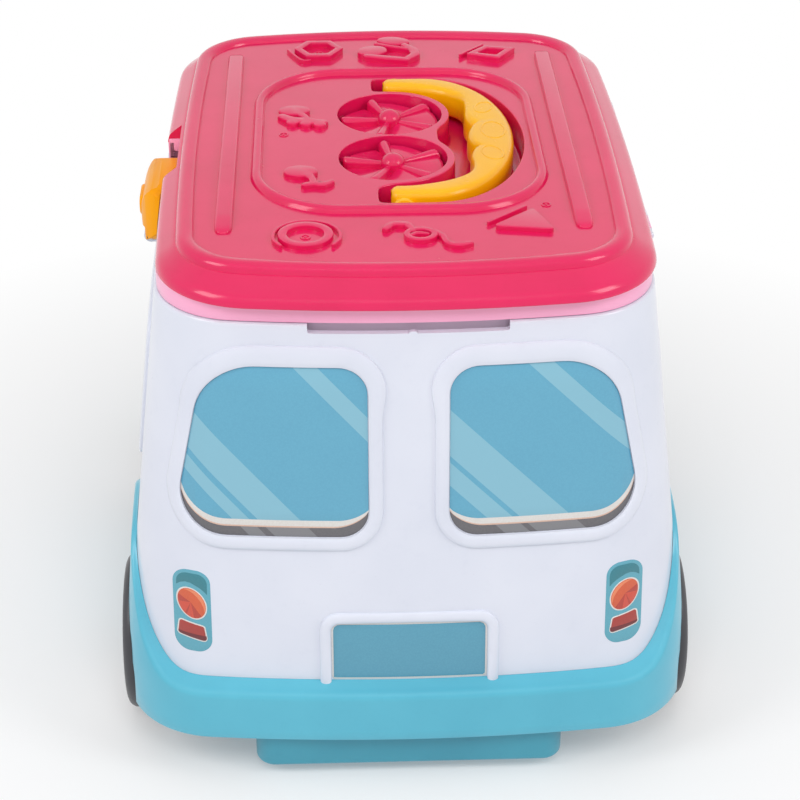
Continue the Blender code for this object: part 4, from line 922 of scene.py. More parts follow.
def wheelRoom(side, y):
    # Room for one wheel under its arch
    outline = archOutline(y, wheelPlace["arch"], wheelPlace["roomFoot"])
    return acrossWheel("room", side, outline, wheelPlace["wellInner"], wheelPlace["room"])


def onArch(point):
    away = math.hypot(abs(point.y) - wheelPlace["halfBase"], max(point.z - wheelPlace["z"], 0.0))
    return abs(away - wheelPlace["arch"]) < 0.05 and abs(point.x) > 104.0


def buildChassis():
    size = skirtSize
    levels = (size["foot"], size["top"], size["top"] + size["rise"])
    sections = [skirtSection(*points) for points in zip(*[skirtRing(z) for z in levels])]
    skirt = stackRings("chassis", [list(row) for row in zip(*sections)], closed=True)
    plate = stackRings("plate", [skirtRing(size[key], 2.0) for key in ("plateLow", "plateTop")])
    for thing in (skirt, plate):
        combine(thing, *[wheelRoom(side, y) for end, name, side, y in wheelSides()])
    bevelWhere(skirt, onArch, 0.9)
    parts = [skirt, plate]
    for end, name, side, y in wheelSides():
        outline = archOutline(y, wheelPlace["well"], size["plateLow"])
        well = acrossWheel("well", side, outline, *wheelPlace["wellWall"])
        inset, low = size["core"]
        core = stackRings("core", [skirtRing(z, inset) for z in (low, *levels[1:])])
        combine(well, core, operation="INTERSECT")
        combine(well, wheelRoom(side, y))
        parts.append(well)
    parts += [rod("boss", "Z", x, y, *panSize["boss"]) for x, y in screwSpots()]
    return smooth(joinPieces(parts, "chassis"))


dress(buildChassis(), "turquoisePlastic", "body", "turquoise_plastic", "chassis")
print("bumper skirt built")


# Printed films on the body

# Plain ink, deep ink and, on a window, the ink of the glare
inks = {
    "glass": ((98, 172, 200), (92, 163, 193), (138, 190, 208)),
    "shade": ((108, 106, 110), (96, 94, 98), (134, 134, 138)),
    "line": ((228, 226, 223), (218, 213, 208)),
    "peach": ((226, 190, 170), (216, 176, 158)),
    "teal": ((98, 172, 190), (90, 162, 182)),
    "cap": ((54, 132, 144), (48, 122, 136)),
    "orange": ((214, 98, 60), (208, 88, 54)),
    "orangeLight": ((234, 138, 98), (228, 126, 86)),
    "orangeDeep": ((186, 70, 56), (178, 62, 50)),
    "orangeRed": ((210, 82, 62), (204, 76, 58)),
    "red": ((172, 62, 54), (162, 56, 50)),
    "redDeep": ((118, 42, 46), (104, 36, 42)),
    "plate": ((90, 160, 184), (82, 150, 176)),
}
windowBands = {
    "left": (1.1, ((131.7, 141.6), (53.0, 70.7), (42.4, 49.5))),
    "right": (1.0, ((222.3, 231.8), (157.5, 176.3), (145.2, 154.8))),
    "long": (0.9, ((176.0, 190.0), (112.0, 128.0), (98.0, 106.0), (205.0, 211.0))),
}


def printedFilm(name, plain, deep, glare=None, side=None):
    # Smooth film with fine dots of print; a window's also has pale slanting bands of glare
    coat, coatRoughness, roughness = (0.35, 0.05, 0.2) if glare else (0.3, 0.06, 0.22)
    look = Finish(name, Coat_Weight=coat, Coat_Roughness=coatRoughness)
    dots = look.spread(look.spots(1400.0), 0.1, 0.7, 0.0, 1.0)
    slow = look.noise(40.0, 3.0)
    colour = look.mix(dots * 0.5 + slow * 0.5, linear(*plain), linear(*deep))
    if glare:
        x, y, z = look.axes()
        tilt, bands = windowBands[side]
        slant = z + (y if side == "long" else x) * tilt
        mask = slant.between(*bands[0])
        for band in bands[1:]:
            mask = mask + slant.between(*band)
        colour = look.mix(mask.atMost(1.0) * 0.8, colour, linear(*glare))
    look.paint(Base_Color=colour, Roughness=roughness + slow * 0.06)
    return look.grain(look.noise(120.0, 2.0), 0.05, 0.0006)


films = {name: printedFilm(name + "Film", *shades[:2]) for name, shades in inks.items()}
for side in windowBands:
    for name in ("glass", "shade"):
        films[name, side] = printedFilm(side + name.title(), *inks[name], side)


def layFilms(name, layers, lift, slot, node):
    # Thin films one over the other, each with its own ink, joined into one piece
    pieces = []
    for key, outline, top in layers:
        piece = wrapped(pad("film", outline, -0.3, top, 0.05, 2), lift)
        piece.data.materials.clear()
        piece.data.materials.append(films[key])
        pieces.append(piece)
    return dress(smooth(joinPieces(pieces, name)), None, "body", slot, node)


# Height of each layer's lower edge and where its arc at the middle starts
windowFilm = {"line": (113.2, 28.5), "pane": (115.7, 27.0), "peach": (112.6, 28.8), "outer": 69.0,
              "arc": 17.5}


def sill(x, base, inner):
    # Lower edge of a film layer: flat, and rising in an arc at both ends
    away = max(inner - abs(x), abs(x) - windowFilm["outer"], 0.0)
    arc = windowFilm["arc"]
    return base + arc - math.sqrt(arc ** 2 - min(away, arc) ** 2)


def aboveSill(outline, base, inner):
    # What of an outline lies above the sill
    fine = resampled(outline, 0.7)
    kept = [p.y >= sill(p.x, base, inner) for p in fine]
    start = next(i for i in range(len(fine)) if kept[i] and not kept[i - 1])
    run = []
    for i in range(len(fine)):
        j = (start + i) % len(fine)
        if not kept[j]:
            break
        run.append(fine[j])
    first, last = run[0].x, run[-1].x
    for i in range(1, 60):
        x = last + (first - last) * i / 60
        run.append(Vector((x, sill(x, base, inner))))
    return run


def windowPrint(name, outline, lift, side, node):
    whole = shifted(outline, -0.12)
    layers = [(("shade", side), resampled(whole, 1.5), 0.06)]
    for key, layer, top in (("peach", "peach", 0.10), ("line", "line", 0.14),
                            (("glass", side), "pane", 0.18)):
        layers.append((key, aboveSill(whole, *windowFilm[layer]), top))
    layFilms(name, layers, lift, "window_print", node)


window = rounded(rearWindow["outline"], 14)
windowPrint("rearWindowRight", window, onRear, "right", "rear_window_right")
windowPrint("rearWindowLeft", mirrored(window), onRear, "left", "rear_window_left")
for node, key, lift, side in (("windscreen", "screen", onFront, "right"),
                              ("side_window_right", "side", onRight, "long"),
                              ("side_window_left", "side", onLeft, "long"),
                              ("cab_window_right", "cab", onRight, "long"),
                              ("cab_window_left", "cab", onLeft, "long")):
    outline = shifted(resampled(rounded(rearWindow[key], 14), 1.5), -0.12)
    low = min(p.y for p in outline) + 5.0
    pane, line = ([Vector((p.x, max(p.y, least))) for p in shifted(outline, -inset)]
                  for inset, least in ((1.0, low + 2.2), (0.5, low)))
    layers = [(("shade", side), outline, 0.06), ("line", line, 0.10), (("glass", side), pane, 0.14)]
    layFilms(node.replace("_", "") + "Print", layers, lift, "window_print", node)


tailLamp = {
    "pill": ((76.2, 92.3, 5.6), (90.9, 92.3, 6.4), (91.2, 56.8, 6.0), (76.4, 56.8, 5.6)),
    "cap": ((77.4, 90.9, 4.2), (89.4, 90.9, 4.6), (89.6, 84.8, 0.0), (88.0, 86.1, 0.0),
            (86.0, 86.9, 0.0), (84.0, 86.7, 0.0), (82.3, 85.9, 0.0), (80.6, 85.0, 0.0),
            (79.1, 83.8, 0.0), (77.6, 82.2, 0.0)),
    "lens": (83.8, 77.8, 6.0, 6.95), "apex": (84.1, 78.3),
    "bar": ((78.9, 68.4, 1.5), (89.2, 70.6, 1.5), (90.3, 63.5, 1.5), (77.9, 60.9, 1.5)),
    "barLow": ((78.5, 63.9, 0.0), (89.6, 65.1, 0.0), (89.8, 64.0, 1.0), (78.4, 61.6, 1.0)),
    "line": 0.5, "tilt": 0.23,
    "facets": ((20, -10, "orangeDeep"), (-10, -58, "orangeRed"), (-58, -68, "orangeDeep"),
               (-68, -98, "orangeRed"), (-98, -134, "orangeDeep")),
}


def lens(grow, start=0.0, end=360.0, steps=48):
    # Arc of the slightly slanted round lens, in degrees
    x, z, a, b = tailLamp["lens"]
    arc = []
    for i in range(steps + 1):
        turn = math.radians(start + (end - start) * i / steps)
        across = (a + grow) * math.cos(turn)
        rise = (b + grow) * 0.97 * math.sin(turn)
        arc.append(Vector((x + across, z + rise + tailLamp["tilt"] * across)))
    return arc


def lampPrint(name, flip, node):
    lamp = tailLamp
    line = lamp["line"]
    apex = Vector(lamp["apex"])
    crescent = lens(-line - 0.25, 55.0, 205.0, 30)
    crescent += [apex + (p - apex) * (1.0 - 0.30 * math.sin(math.pi * i / 30)) for i, p in
                 reversed(list(enumerate(crescent))[1:-1])]
    bar = rounded(lamp["bar"], 5)
    layers = [("teal", rounded(lamp["pill"], 10), 0.08), ("cap", rounded(lamp["cap"], 6), 0.12),
              ("line", lens(0.0)[:-1], 0.14), ("orange", lens(-line)[:-1], 0.18),
              ("orangeLight", crescent, 0.21), ("line", bar, 0.14),
              ("red", shifted(bar, -line), 0.18), ("redDeep", rounded(lamp["barLow"], 4), 0.21)]
    for start, end, key in lamp["facets"]:
        layers.append((key, [apex] + lens(-line - 0.2, start, end, 12), 0.20))
    if flip:
        layers = [(key, mirrored(outline), top) for key, outline, top in layers]
    layFilms(name, layers, onRear, "lamp_print", node)


lampPrint("tailLampLeft", True, "tail_lamp_left")
lampPrint("tailLampRight", False, "tail_lamp_right")

headLamp = {"x": 74.0, "z": 78.0, "radius": 13.6,
            "rings": (("teal", 1.0, 0.08), ("line", 0.80, 0.12), ("glass", 0.72, 0.16),
                      ("line", 0.24, 0.20))}
for node, side in (("headlamp_right", 1.0), ("headlamp_left", -1.0)):
    layers = [(key, circleAt(side * headLamp["x"], headLamp["z"], headLamp["radius"] * share, 56), top)
              for key, share, top in headLamp["rings"]]
    layFilms(node.replace("_", "") + "Print", layers, onFront, "lamp_print", node)

outline = plateOutline(0.1, numberPlate["filmCorner"], numberPlate["filmLow"])
layFilms("numberPlate", [("line", resampled(outline, 1.5), 0.10),
                         ("plate", resampled(shifted(outline, -0.7), 1.5), 0.15)],
         onRear, "plate_print", "number_plate")
print("films laid")


# Floor pan

def screwHoles(x, y):
    # A sink for the head and a hole for the shank, from below
    return [rod(name, "Z", x, y, *panSize[name]) for name in ("sink", "hole")]


def buildPan():
    size = panSize
    edge, foot, wall, top = size["edge"], size["foot"], size["wall"], size["top"]

    def ring(z, inset):
        x, y = size["halfWidth"] - inset, size["halfLength"] - inset
        return atHeight(oblong(-x, -y, x, y, max(size["corner"] - inset, 1.0)), z)

    rings = [ring(foot, edge + 1.6), ring(foot, edge + 0.6)]
    rings += [ring(foot + edge * (1.0 - cos), edge * (1.0 - sin)) for sin, cos in quarter(6)]
    rings += [ring(z, inset) for z, inset in (
        (20.0, 0.0), (top, 0.0), (top, wall), (20.0, wall), (foot + wall + 1.5, wall),
        (foot + wall + 0.4, wall + 0.4), (foot + wall, wall + 1.5))]
    pan = stackRings("floorPan", rings)
    tools = []
    half, low, corner, high = size["slot"]
    for y in (-wheelPlace["halfBase"], wheelPlace["halfBase"]):
        slot = rounded([(y - half, high, 0.0), (y + half, high, 0.0), (y + half, low, corner),
                        (y - half, low, corner)], 8)
        tools.append(prism("axleSlot", slot, "X", -90.0, 90.0))
    for spot in screwSpots():
        tools += screwHoles(*spot)
    reach, half, corner = size["groove"]
    for y in size["grooves"]:
        groove = oblong(-reach, y - half, reach, y + half, corner, 6)
        tools.append(prism("groove", groove, "Z", 0.0, foot + 0.8))
    combine(pan, *tools)
    seats = []
    for x, y in screwSpots():
        seat = rod("seat", "Z", x, y, 5.2, foot + wall - 1.0, 9.4)
        seats.append(combine(seat, *screwHoles(x, y)))
    return smooth(joinPieces([pan] + seats, "floorPan"))


# The pan takes the darker turquoise of painted shade, as it lies in shadow under the skirt
dress(buildPan(), "deepTurquoise", "body", "deep_turquoise_plastic", "floor_pan")
print("floor pan built")


# Wheels

wheelLook = {
    "shoulder": 4.0, "hubRadius": 20.4, "hubFace": 113.03, "hubBack": 92.03, "steps": 96, "spokes": 6,
    "grooves": (7.2, 11.5, 15.8),
    "groove": ((-0.9, 0.0), (-0.6, 0.15), (-0.35, 0.75), (0.35, 0.75), (0.6, 0.15), (0.9, 0.0)),
    "lip": ((0.0, 4.4), (0.5, 3.9), (0.5, 2.9), (0.0, 2.4), (0.0, 0.8), (0.4, 0.0)),
    "hubEdge": ((0.7, 0.0), (0.2, 0.2), (0.0, 0.7), (0.0, 2.2), (0.2, 2.7), (2.0, 3.7), (2.5, 4.4),
                (2.6, 5.2)),
    "hubDome": ((-2.6, 9.0), (-2.3, 8.2), (-0.9, 7.0), (-0.3, 6.2), (0.2, 5.0), (0.5, 3.4), (0.6, 1.6),
                (0.6, 0.6)),
    "spoke": ((7.6, -1.9), (15.6, -1.3), (15.6, 1.3), (7.6, 1.9)), "spokeCorner": 0.6,
    "behind": 3.0, "dish": (2.9, 5.6), "boss": 5.5, "bore": (2.65, 108.33),
}


def tyreProfile():
    # From the inner face over the grooved tread to the outer face's lip
    outer, inner, radius = wheelPlace["outer"], wheelPlace["inner"], wheelPlace["radius"]
    shoulder, hub = wheelLook["shoulder"], wheelLook["hubRadius"]

    def eased(start, side, i):
        turn = math.pi / 2.0 * i / 6
        return (start + side * shoulder * (1.0 - math.cos(turn * 0.999)),
                radius - shoulder * (1.0 - math.sin(turn)))

    rows = [(inner, hub), (inner, hub + 1.6), (inner + 0.3, hub + 2.4)]
    rows += [eased(inner, 1.0, i) for i in range(7)]
    for middle in wheelLook["grooves"]:
        rows += [(inner + middle + t, radius - deep) for t, deep in wheelLook["groove"]]
    rows += [eased(outer, -1.0, i) for i in range(6, -1, -1)]
    return rows + [(outer - back, hub + rise) for back, rise in wheelLook["lip"]]


def buildTyre(side, y):
    return smooth(turned("tyre", tyreProfile(), "X", (y, wheelPlace["z"]), wheelLook["steps"], side,
                         closed=True), 40)


def hubProfile():
    face, rim = wheelLook["hubFace"], wheelLook["hubRadius"] - 0.3
    rows = [(wheelLook["hubBack"] + 0.4, rim)]
    rows += [(face - back, rim - inset) for back, inset in wheelLook["hubEdge"]]
    return rows + [(face + rise, radius) for rise, radius in wheelLook["hubDome"]]


def buildHub(side, y):
    # Face and rim, a spoked dish behind the face, and the hollow back
    look, z = wheelLook, wheelPlace["z"]
    hub = turned("hub", hubProfile(), "X", (y, z), look["steps"], side)
    face, behind = look["hubFace"], look["hubBack"] - look["behind"]
    inset, deep = look["dish"]
    low, high = sorted((side * behind, side * (face - deep)))
    dish = rod("dish", "X", y, z, look["hubRadius"] - inset, low, high, 64)
    combine(dish, rod("boss", "X", y, z, look["boss"], low - 5.0, high + 5.0))
    radius, end = look["bore"]
    low, high = sorted((side * behind, side * end))
    combine(hub, dish, rod("bore", "X", y, z, radius, low, high))
    parts = [hub]
    for i in range(look["spokes"]):
        turn = math.tau * (i + 0.5) / look["spokes"]
        run = Vector((math.cos(turn), math.sin(turn)))
        across = Vector((-math.sin(turn), math.cos(turn)))
        spots = [Vector((y, z)) + run * reach + across * half for reach, half in look["spoke"]]
        corners = [(*spot, look["spokeCorner"]) for spot in spots]
        parts.append(lifted(pad("spoke", rounded(corners, 4), face - 3.0, face - 0.7, 0.8),
                            lambda a, b, height: Vector((side * height, a, b))))
    return smooth(joinPieces(parts, "hub"))


for end, name, side, y in wheelSides():
    for part, build in (("tyre", buildTyre), ("hub", buildHub)):
        piece = build(side, y)
        piece.name = part + end.title() + name.title()
        dress(piece, part + "Plastic", end + "_wheels", part + "_plastic", f"{part}_{end}_{name}")
print("wheels turned")


# Lid

lidSize = {
    "halfWidth": 97.5, "halfLength": 131.4, "corner": 39.0, "sideBow": 3.4, "endBow": 9.5,
    "narrow": (2.0, 0.6, 10.3), "foot": 202.6, "panel": 213.0, "under": 199.9,
    "shoulder": ((0.15, 1.4), (0.45, 2.3), (0.95, 3.2), (1.65, 4.0), (2.55, 4.7), (3.7, 5.4),
                 (5.0, 6.15), (6.4, 6.95), (7.8, 7.75), (8.9, 8.35), (9.6, 8.65)),
    "beadMiddle": 13.6, "beadHalf": 3.3, "beadRise": 12.4, "panelInset": 18.2,
    "notch": (-88.7, -20.0, 23.0),
}
handleFrame = {
    "y": 1.5, "halfWidth": 59.0, "halfLength": 73.0, "corner": 38.0,
    "section": ((-0.4, 0.0), (0.0, 0.0), (0.25, 0.45), (0.6, 1.1), (1.15, 1.75), (1.9, 2.25),
                (2.8, 2.4), (3.7, 2.2), (4.3, 1.7), (4.65, 0.9), (4.85, 0.25), (5.0, 0.0),
                (5.4, 0.0)),
}
fanPlace = {"x": -2.0, "rear": -19.0, "front": 26.0, "well": 21.8, "floor": 203.4, "seat": 201.0,
            "collar": 25.0, "shaft": 1.9, "head": 5.0, "wellRound": (0.3, 0.8, 0.1)}
handleSize = {
    "root": -4.0, "half": 59.6, "bend": 12.0, "reach": 35.8, "pitch": 22.0, "lobe": 3.6,
    "middle": -0.3, "cusps": (32.4, 32.7), "peak": 28.9, "sharpness": 0.62,
    "low": 203.2, "top": 215.4, "topEdge": 3.2, "lowEdge": 2.2,
    "end": 3.2, "ends": (-4.0, -3.8, -3.3, -2.5, -1.6),
    "arm": ((-4.0, 50.6), (4.0, 50.5), (12.0, 48.6), (19.2, 45.6), (25.0, 41.4), (28.3, 36.6),
            (29.3, 30.5)),
    "pivot": (1.0, 209.3), "pin": 2.3, "boss": 4.3, "bossEnds": (57.0, 62.7), "hole": (52.5, 66.0),
    "lidHole": (58.6, 68.0),
}
handlePocket = {"root": -8.8, "centreX": 14.0, "reach": 38.0, "half": 63.1, "inner": 49.1,
                "floor": 201.1, "waist": 17.0}


def lidRing(inset, z):
    # The shoulder is narrower along the sides than at the ends
    size = lidSize
    narrow, aside, reach = size["narrow"]
    share = max(1.0 - inset / reach, 0.0)
    outline = planOutline(size["halfWidth"] - inset - narrow * share, size["halfLength"] - inset,
                          size["sideBow"], size["endBow"], size["corner"] - inset)
    return [Vector((p.x + aside * share, p.y, z)) for p in outline]


def lidProfile():
    # Inset and height, from the underside out to the edge and up to the panel
    size = lidSize
    foot, panel = size["foot"], size["panel"]
    rows = [(6.0, size["under"]), (6.0, foot + 1.9), (2.6, foot + 1.9), (2.6, foot + 0.2),
            (2.4, foot), (0.6, foot), (0.15, foot + 0.15), (0.0, foot + 0.6)]
    rows += [(inset, foot + rise) for inset, rise in size["shoulder"]]
    ledge = foot + size["shoulder"][-1][1]
    middle, half, top = size["beadMiddle"], size["beadHalf"], foot + size["beadRise"]
    rows.append((middle - half - 0.2, ledge + 0.1))
    rows += [(middle - half * cos, ledge + 0.12 + (top - ledge - 0.12) * sin ** 0.9)
             for sin, cos in quarter(8, 1)]
    rows += [(middle + half * sin, panel + 0.1 + (top - panel - 0.1) * cos ** 0.9)
             for sin, cos in quarter(8, 1, 7)]
    return rows + [(middle + half + 0.2, panel), (middle + half + 0.7, panel),
                   (size["panelInset"], panel)]


def pocketOutline():
    # C-shaped: a wide arc outside, and round the fans' collars inside
    place, fan = handlePocket, fanPlace
    middle, root = handleFrame["y"], handlePocket["root"]
    loop = [Vector((root, middle + place["half"]))]
    for turn in [math.pi * i / 40 for i in range(41)]:
        loop.append(Vector((place["centreX"] + place["reach"] * math.sin(turn),
                            middle + place["half"] * math.cos(turn))))
    loop += [Vector((root, middle - place["half"])), Vector((root, middle - place["inner"]))]
    meet = math.asin((place["waist"] - fan["x"]) / fan["collar"])
    for y, start, end in ((fan["rear"], -0.5 * math.pi, 0.5 * math.pi - meet),
                          (fan["front"], meet - 0.5 * math.pi, 0.55 * math.pi)):
        for turn in [start + (end - start) * i / 24 for i in range(25)]:
            loop.append(Vector((fan["x"] + fan["collar"] * math.cos(turn),
                                y + fan["collar"] * math.sin(turn))))
    loop.append(Vector((root, middle + place["inner"])))
    return softened(loop, 1.1, 7)


def sunk(name, outline, top, floor, rim=0.55, fillet=1.2, draft=0.15):
    # The surface of a pocket: a flat loop round it, a rounded rim, a wall, a fillet and its floor
    rows = [(rim + 0.35, top)]
    rows += [(rim * (1.0 - sin), top - rim * (1.0 - cos)) for sin, cos in quarter(4)]
    rows.append((-0.5 * draft, (top + floor) / 2.0))
    rows += [(-draft - fillet * (1.0 - cos), floor + fillet * (1.0 - sin))
             for sin, cos in quarter(4)]
    rings = [atHeight(shifted(outline, by), z) for by, z in rows]
    return stackRings(name, rings, caps=(False, True)), rings[0]


def buildLid():
    size = lidSize
    panel = size["panel"]
    rows = [lidRing(inset, z) for inset, z in lidProfile()]
    parts = [stackRings("lidShell", rows, caps=(True, False))]
    middle, x, y = (handleFrame[key] for key in ("y", "halfWidth", "halfLength"))
    line = resampled(oblong(-x, middle - y, x, middle + y, handleFrame["corner"], 24), 2.5)
    bead = [atHeight(shifted(line, -inset), panel + rise) for inset, rise in handleFrame["section"]]
    parts.append(stackRings("handleFrame", bead, caps=(False, False)))
    parts.append(fillBetween("outerPanel", [rows[-1], bead[0]]))
    pocket, pocketRim = sunk("pocket", pocketOutline(), panel, handlePocket["floor"])
    parts.append(pocket)
    loops = [bead[-1], pocketRim]
    for y in (fanPlace["rear"], fanPlace["front"]):
        outline = circleAt(fanPlace["x"], y, fanPlace["well"], 96)
        well, wellRim = sunk("fanWell", outline, panel, fanPlace["floor"], *fanPlace["wellRound"])
        parts.append(well)
        loops.append(wellRim)
    parts.append(fillBetween("innerPanel", loops))
    lid = fixNormals(joinPieces(parts, "lidShell"))

    edge, low, high = size["notch"]
    tools = [block("sideNotch", (-120.0, low, 190.0), (edge, high, 230.0))]
    for y in (fanPlace["rear"], fanPlace["front"]):
        spot = (fanPlace["x"], y)
        tools.append(rod("shaftHole", "Z", *spot, fanPlace["shaft"], 195.0, 208.0))
        tools.append(rod("headRoom", "Z", *spot, fanPlace["head"], 195.0, fanPlace["seat"] + 0.1))
    for side in (-1, 1):
        ends = sorted(middle + side * reach for reach in handleSize["lidHole"])
        tools.append(rod("pinHole", "Y", *handleSize["pivot"], handleSize["pin"], *ends))
    return combine(lid, *tools)


lidPiece = buildLid()
print("lid shell built", len(lidPiece.data.polygons))


# Raised shapes on the lid

reliefTop = {"bold": 2.6, "flat": 1.9}


def ellipse(x, y, a, b, degrees=0.0, steps=40):
    turn = math.radians(degrees)
    points = []
    for i in range(steps):
        u, v = a * math.cos(math.tau * i / steps), b * math.sin(math.tau * i / steps)
        points.append(Vector((x + u * math.cos(turn) - v * math.sin(turn),
                              y + u * math.sin(turn) + v * math.cos(turn))))
    return points


def stroke(route, widths):
    # Outline of a brush stroke of changing width along a smooth route
    steps = 6
    spots = spline(route, steps) + [Vector(route[-1])]
    spans = [start + (end - start) * (step / steps) for start, end in zip(widths, widths[1:])
             for step in range(steps)] + [widths[-1]]
    left, right, ends = [], [], []
    last = len(spots) - 1
    for i, (spot, width) in enumerate(zip(spots, spans)):
        run = (spots[min(i + 1, last)] - spots[max(i - 1, 0)]).normalized()
        across = Vector((-run.y, run.x)) * width / 2.0
        left.append(spot + across)
        right.append(spot - across)
        if i in (0, last):
            ahead = run * (width / 2.0) * (1.0 if i else -1.0)
            ends.append([spot + (across * math.cos(math.pi * k / 6) + ahead * math.sin(math.pi * k / 6))
                         for k in range(1, 6)])
    head, tail = ends
    return left + tail + right[::-1] + head[::-1]


def relief(name, outline, top=reliefTop["flat"], edge=0.8):
    panel = lidSize["panel"]
    return pad(name, outline, panel - 0.5, panel + top, edge, 3)


def reliefRing(name, outer, inner, top=reliefTop["flat"], edge=0.45):
    # A flat raised ring between two outlines that have as many points
    foot, top = lidSize["panel"] - 0.5, lidSize["panel"] + top
    rows = [(outer, 0.0, foot), (outer, 0.0, top - edge), (outer, -0.3 * edge, top - 0.3 * edge),
            (outer, -edge, top), (inner, edge, top), (inner, 0.3 * edge, top - 0.3 * edge),
            (inner, 0.0, top - edge), (inner, 0.0, foot)]
    rings = [atHeight(shifted(outline, by) if by else outline, z) for outline, by, z in rows]
    return stackRings(name, rings, closed=True)


def fused(first, *others):
    return combine(first, *others, operation="UNION")


def dimple(x, y):
    # A small moulded mark: a low ring with a dot
    return [reliefRing("mark", circleAt(x, y, 2.0, 24), circleAt(x, y, 1.35, 24), 0.4, 0.2),
            relief("dot", circleAt(x, y, 0.6, 12), 0.4, 0.15)]


reliefs = {
    "hexagon": (-31.3, 96.3, 10.9, 7.3), "circle": (-37.0, -91.3, 10.4, 6.9),
    "square": ((33.9, 87.5), (42.8, 97.2), (56.4, 93.9), (48.2, 81.8)),
    "triangle": ((49.6, -71.6, 1.3), (56.2, -91.0, 1.3), (32.6, -87.2, 1.3)),
    "marks": ((-46.0, 5.0), (55.0, -66.0), (-31.3, 96.3), (-37.0, -91.3), (46.0, 90.0)),
    "rib": 67.8, "ribHalf": 3.4, "ribEdge": 1.3,
    # Place along the rib, rise and share of the full width
    "ribSections": (
        (-87.0, 0.1, 0.30), (-86.7, 0.55, 0.52), (-86.0, 1.0, 0.72), (-84.9, 1.35, 0.88),
        (-83.3, 1.6, 0.97), (-81.0, 1.85, 1.0), (-78.5, 2.1, 1.0), (-76.0, 2.33, 1.0),
        (-74.0, 2.4, 1.0), (88.5, 2.4, 1.0), (90.4, 2.1, 0.96), (91.6, 1.3, 0.8), (92.0, 0.3, 0.5)),
}


def longRib(x):
    # A long flat-topped rib with a ramp at its rear end
    panel = lidSize["panel"]
    rings = []
    for y, rise, width in reliefs["ribSections"]:
        half, edge = reliefs["ribHalf"] * width, min(reliefs["ribEdge"], rise * 0.8)
        ring = [(x - half, y, panel - 0.5)]
        ring += [(x - half + edge * (1.0 - cos), y, panel + rise - edge * (1.0 - sin))
                 for sin, cos in quarter(5)]
        ring += [(2.0 * x - a, y, z) for a, y, z in ring[::-1]]
        rings.append(ring)
    return fixNormals(stackRings("longRib", rings))


def plainShapes():
    # A hexagon, a square, a circle and a triangle, each with a raised edge beside it
    x, y, outer, inner = reliefs["hexagon"]
    turns = [math.tau * i / 6 for i in range(6)]
    rings = [rounded([(x + radius * math.cos(turn), y + radius * math.sin(turn), 0.7)
                      for turn in turns], 4) for radius in (outer, inner)]
    parts = [reliefRing("hexagon", *rings, reliefTop["bold"])]
    route = [(x - 13.6, y + 1.5), (x - 8.0, y - 10.8), (x - 4.0, y - 11.6)]
    parts.append(relief("hexagonEdge", stroke(route, [1.2] * 3), 1.7, 0.4))

    spots = [Vector(spot) for spot in reliefs["square"]]
    middle = sum(spots, Vector((0.0, 0.0))) / 4.0
    rings = [rounded([(*(middle + (spot - middle) * share), 0.6) for spot in spots], 4)
             for share in (1.0, 0.56)]
    parts.append(reliefRing("square", *rings, reliefTop["bold"]))
    route = [(42.0, 100.2), (36.5, 94.2), (31.4, 88.2)]
    parts.append(relief("squareEdge", stroke(route, [1.3] * 3), 2.0, 0.4))

    x, y, outer, inner = reliefs["circle"]
    parts.append(reliefRing("circle", circleAt(x, y, outer, 64), circleAt(x, y, inner, 64)))
    turns = [math.radians(degrees) for degrees in range(-40, 221, 20)]
    route = [(x + 0.5 + 12.6 * math.cos(turn), y - 0.6 + 12.6 * math.sin(turn)) for turn in turns]
    parts.append(relief("circleEdge", stroke(route, [1.3] * len(route)), 1.6, 0.4))

    parts.append(relief("triangle", rounded(reliefs["triangle"], 5), edge=0.5))
    route = [(31.6, -83.2), (39.2, -76.4), (46.8, -69.6)]
    parts.append(relief("triangleEdge", stroke(route, [1.2] * 3), 1.7, 0.4))
    return parts


